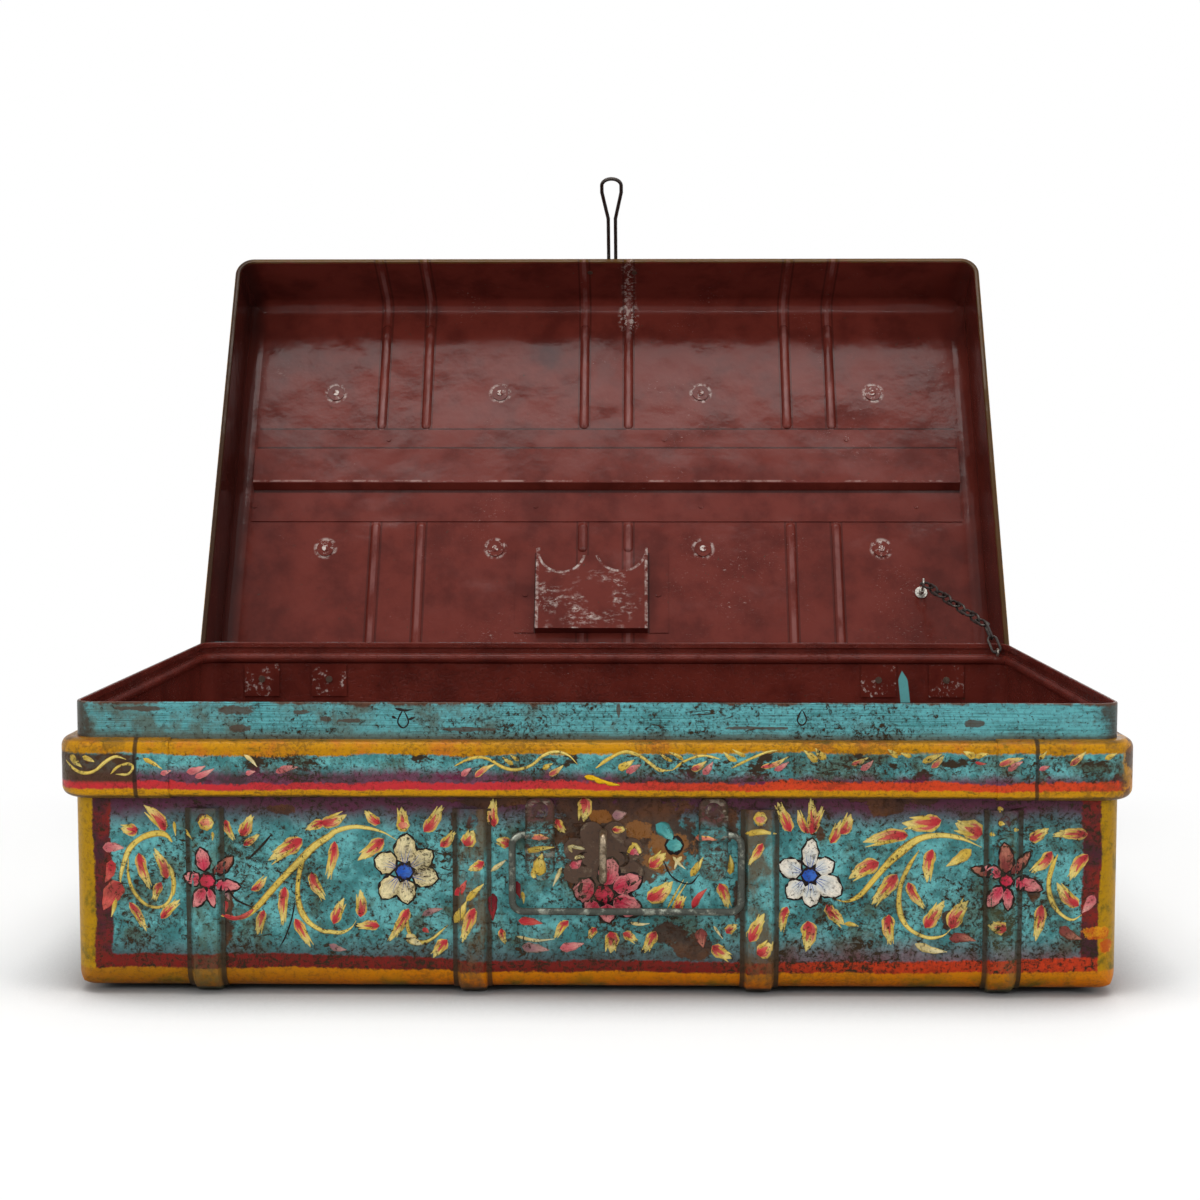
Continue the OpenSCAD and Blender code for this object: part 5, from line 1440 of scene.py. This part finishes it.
leaves, band_leaves = read_strokes(LEAVES), read_strokes(BAND_LEAVES)
scrolls = list(read_scrolls(SCROLLS))
print(len(leaves), "leaves,", len(FLOWERS), "flowers and", len(scrolls), "scrolls on the front")

# %% Accents
FRONT_SPOTS = ((-230.2, 104.5, 3.6), (-113.7, 102.8, 3.0), (97.5, 107.9, 3.0), (47.0, 91.2, 4.8))
ACCENTS = (
    ([(-37.1, 96.3), (-31.9, 96.9), (-26.7, 96.3)], 4.6, "peach"),
    ([(-41.4, 87.6), (-32.2, 89.2), (-23.9, 90.2)], 3.6, "y"),
    ([(-32.4, 72.9), (-32.8, 79.9), (-31.2, 86.3)], 8.2, "y"),
    ([(-32.5, 75.4), (-32.8, 79.9), (-32.2, 83.8)], 5.0, "r"),
    ([(-35.2, 77.9), (-36.5, 74.4), (-35.7, 70.5)], 3.0, "y"),
    ([(59.5, 95.7), (65.9, 96.3), (72.3, 95.7)], 4.4, "peach"),
    ([(-13.4, 87.0), (-14.8, 90.7), (-6, 89)], 2.2, "c"),
    ([(-13.9, 81.8), (-11.6, 78.9), (-7.7, 82.3)], 5.2, "petal"),
    ([(-12, 83.3), (-9.3, 84.2), (-6.1, 83.8)], 2.2, "c"),
    ([(19.2, 85.4), (23.3, 92.3), (27.7, 85.2)], 2.6, "y"),
    ([(21, 85.8), (23.3, 87.8), (25.9, 85.6)], 4.0, "petal"),
    ([(-222, 48.9), (-215, 46.3), (-208, 48.2), (-203, 52)], 2.6, "r"),
    ([(-250.9, 60), (-250.6, 70), (-253.4, 79)], 2.4, "scroll"),
    ([(-178.4, 57), (-180.6, 46), (-184.6, 35), (-188, 29)], 0.9, "outline"),
    ([(-206, 82), (-198, 90), (-192, 97)], 1.4, "outline"),
    ([(-219, 66), (-214, 58), (-204, 53)], 1.2, "outline"),
    ([(40.5, 82), (46, 72), (56, 68), (62, 74)], 0.9, "outline"),
)
OCHRE_DABS = ((-6, 133.4, 4, 131.8, 3.6), (0, 131, 9, 130, 3.2), (6, 129.6, 15, 128.4, 2.6))
DROP = ((0, 6.6), (-3.0, 0.4), (-2.4, -2.8), (0, -4.4), (2.4, -2.8), (3.0, 0.4), (0.3, 6.4))
NECK_DABS = (
    [(-120, 167.6), (-117, 166.4)], [(-110, 165.8), (-106, 167.2)],
    [(-118, 172.4), (-112, 171.2), (-107, 172)],
)
print(len(ACCENTS), "accents on the front")

# %% Paint the front
front, neck, band = FACES["front"], FACES["neck_front"], FACES["band_front"]
for path, widths in scrolls:
    lay(front, "scrolls", path, widths, LINE, 0.11, "scroll")
for stroke in leaves:
    dab(front, *stroke)
for *heart, petals in FLOWERS:
    flower(front, *heart, read_strokes(petals))
for x, y, radius in FRONT_SPOTS:
    edge, fill = ("outline", "turquoise") if radius > 4 else ("y", "peach")
    spot(front, "leaves", x, y, radius + 1.1, edge, 0.22)
    spot(front, "leaves", x, y, radius, fill, 0.28)
lay(front, "leaves", [(36, 103.6), (41.8, 99.8), (46.8, 92.7)], 8.5, LEAF, 0.18, "turquoise")
for path, width, brush in ACCENTS:
    lay(front, "leaves", path, width, LEAF if width > 3 else LINE, 0.24, brush)
for *ends, width in OCHRE_DABS:
    lay(band, "leaves", [ends[:2], ends[2:]], width, LEAF, 0.3, "ochre")
for x, y, size in ((-113.3, 165.2, 1.0), (121.9, 166.6, 0.85)):
    outline = [(x + a * size, y + b * size) for a, b in DROP]
    lay(neck, "drops", outline, 0.9, LINE, 0.14, "outline", 0.9)
for path in NECK_DABS:
    lay(neck, "drops", path, 1.6, LEAF, 0.12, "outline", 0.9)
for kind, *ends, width in band_leaves:
    path = bend_path(*ends, random.uniform(-0.08, 0.08))
    lay(band, "leaves", path, width, LEAF, 0.18, kind, 1.2)
for path, width in read_scrolls(BAND_SCROLLS):
    lay(band, "scrolls", path, width, LINE, 0.14, "scroll", 1.2)
print("front painted:", sum(len(p["faces"]) for p in front["pieces"].values()), "faces")

# %% [markdown]
# ## The other sides
# The other sides carry the same hand's flowers. A motif here is the front's own, moved and
# mirrored, so the ends and the back look like the work of the same painter.


# %% Motifs on the back, the ends and the band
def repeat(name, from_x, to_x, shift, flip, rise=0.0, low=8.0, high=115.0):
    """Repeats the front's strokes between two lines on another face."""
    target = FACES[name]
    place = lambda x, y: (flip * x + shift, y + rise)
    for kind, x0, y0, x1, y1, width in leaves:
        if from_x < x0 < to_x and low < y0 + rise < high and low < y1 + rise < high:
            dab(target, kind, *place(x0, y0), *place(x1, y1), width)
    for path, widths in scrolls:
        if from_x < min(x for x, y in path) and max(x for x, y in path) < to_x:
            lay(target, "scrolls", [place(*q) for q in path], widths, LINE, 0.11, "scroll")
    for heart, x, y, radius, petals in FLOWERS:
        if from_x < x < to_x:
            petals = read_strokes(petals)
            moved = [(k, *place(a, b), *place(c, d), w) for k, a, b, c, d, w in petals]
            flower(target, heart, *place(x, y), radius, moved)


repeat("back", -330, 330, 0, -1)
repeat("left", -300, -40, 150, 1, low=14)
repeat("right", 100, 300, 200, -1, low=14)
for name, half, flip in (("band_back", 300, -1), ("band_left", 165, 1), ("band_right", 165, -1)):
    for kind, x0, y0, x1, y1, width in band_leaves:
        for shift in (-150, 150) if half > 200 else (0, -170):
            start, stop = flip * x0 + shift, flip * x1 + shift
            if -half < start < half and abs(stop) < half:
                path = bend_path(start, y0, stop, y1, 0.05)
                lay(FACES[name], "leaves", path, width, LEAF, 0.18, kind, 1.6)
print("back and ends painted")

# %% Motifs on the lid
for rise, flip in ((-172, 1), (-66, -1), (40, 1)):
    repeat("lid_top", -330, 330, 0, flip, rise, low=-158, high=158)
print("lid painted")

# %% [markdown]
# The brushwork's own material mixes the three paints of a stroke, draws the bristles, and lets
# the same chips through as the ground, because it reads the same noise at the same place.

# %% Brushwork material
brushwork = material("brushwork_enamel")
place = add("TexCoord")["Object"]
stroke_at = add("Attribute", attribute_name="stroke")["Vector"]
t, v, _ = split(stroke_at)
root, tip, edge = (
    add("Attribute", attribute_name=key + "_paint")["Color"] for key in ("root", "tip", "edge")
)
lines = use(bristles, Place=stroke_at, Along=(1.6, 7.0, 90.0))[0]
spread = (lines - 0.5) * 1.1 + t
colour = blend(ease(spread, 0.3, 0.8), root, tip)
side = (lines - 0.5) * 0.7 + abs(v)
colour = blend(ease(side, 0.58, 0.86), colour, edge)
thin = ease(t * 0.16 + lines, 0.7, 0.78)
colour = blend(thin * 0.45, colour, BARE_BROWN)
wear = flakes(place, 0.38, GRAIN)
colour = blend(wear["Stain"] * 0.3, colour, OLIVE_STAIN)
colour = blend(wear["Haze"] * 0.3, colour, BARE_BROWN)
colour = blend(wear["Chips"], colour, BARE_BROWN)
height = lines * 0.6 - wear["Chips"] * 0.6
shade(colour, wear["Chips"] * 0.25 + 0.36, height, 0.25)
print("brushwork material:", len(tree.nodes), "nodes")


# %% Pieces of brushwork
def hang_up(face, name, store):
    """Makes the mesh of a face's strokes and lets it ride on its body."""
    mesh = bpy.data.meshes.new(name)
    mesh.from_pydata(store["points"], [], store["faces"])
    layer = mesh.attributes.new("stroke", "FLOAT_VECTOR", "POINT")
    layer.data.foreach_set("vector", np.array(store["stroke"], np.float32).ravel())
    for key in ("root", "tip", "edge"):
        layer = mesh.attributes.new(key + "_paint", "FLOAT_COLOR", "POINT")
        layer.data.foreach_set("color", np.array(store[key], np.float32).ravel())
    mesh.shade_smooth()
    mesh.materials.append(brushwork)
    piece = bpy.data.objects.new(name, mesh)
    bpy.context.scene.collection.objects.link(piece)
    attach(piece, face["body"])
    face["slot"]


pieces = [(f, kind, store) for f in FACES.values() for kind, store in f["pieces"].items()]
for f, kind, store in pieces:
    hang_up(f, "%s_%s" % (f["name"], kind), store)
print(len(pieces), "pieces of brushwork")

# %% [markdown]
# ## Floor and background
# The photo has a white ground. The floor is pale and takes the trunk's soft shadow, and ambient
# occlusion darkens its colour near the trunk as a painted shadow. The world is white where the
# camera or a reflection sees it, and softer where it only lights the paint.

# %% Floor
WHITE = (1, 1, 1, 1)
mesh = bpy.data.meshes.new("studio_floor")
mesh.from_pydata([(-6, -6, 0), (6, -6, 0), (6, 6, 0), (-6, 6, 0)], [], [(0, 1, 2, 3)])
floor = bpy.data.objects.new("studio_floor", mesh)
bpy.context.scene.collection.objects.link(floor)
mesh.materials.append(material("studio_floor"))
path = add("LightPath")
seen = largest(path["Is Camera Ray"], path["Is Glossy Ray"])
# Ambient occlusion darkens the floor's colour near the trunk: a painted contact shadow.
contact_shade = ease(add("AmbientOcclusion", {"Distance": 0.09}, samples=8)["AO"], 0.35, 0.95)
ground = add("BsdfPrincipled", {
    "Base Color": blend(contact_shade, (0.36, 0.36, 0.36, 1), (0.8, 0.8, 0.8, 1)),
    "Roughness": 0.9, "Specular IOR Level": 0.0,
    "Emission Color": WHITE, "Emission Strength": seen * contact_shade * 0.19,
})[0]
plain_white = add("Emission", {"Color": WHITE, "Strength": 1.0})[0]
far = how_far(add("TexCoord")["Object"], (0, -0.1, 0), (1 / 0.62, 1 / 0.52, 0))
fade = seen * ease(far, 0.75, 1.35)
surface = add("MixShader", {0: fade, 1: ground, 2: plain_white})[0]
add("OutputMaterial", {"Surface": surface})
print("floor:", len(tree.nodes), "nodes")

# %% World
world = bpy.data.worlds.new("studio_world")
bpy.context.scene.world = world
world.use_nodes = True
tree = world.node_tree
tree.nodes.clear()
path = add("LightPath")
seen = largest(path["Is Camera Ray"], path["Is Glossy Ray"], path["Is Transmission Ray"])
soft = add("Background", {"Color": WHITE, "Strength": 0.42})[0]
white = add("Background", {"Color": WHITE, "Strength": 1.0})[0]
add("OutputWorld", {"Surface": add("MixShader", {0: seen, 1: soft, 2: white})[0]})
print("world:", len(tree.nodes), "nodes")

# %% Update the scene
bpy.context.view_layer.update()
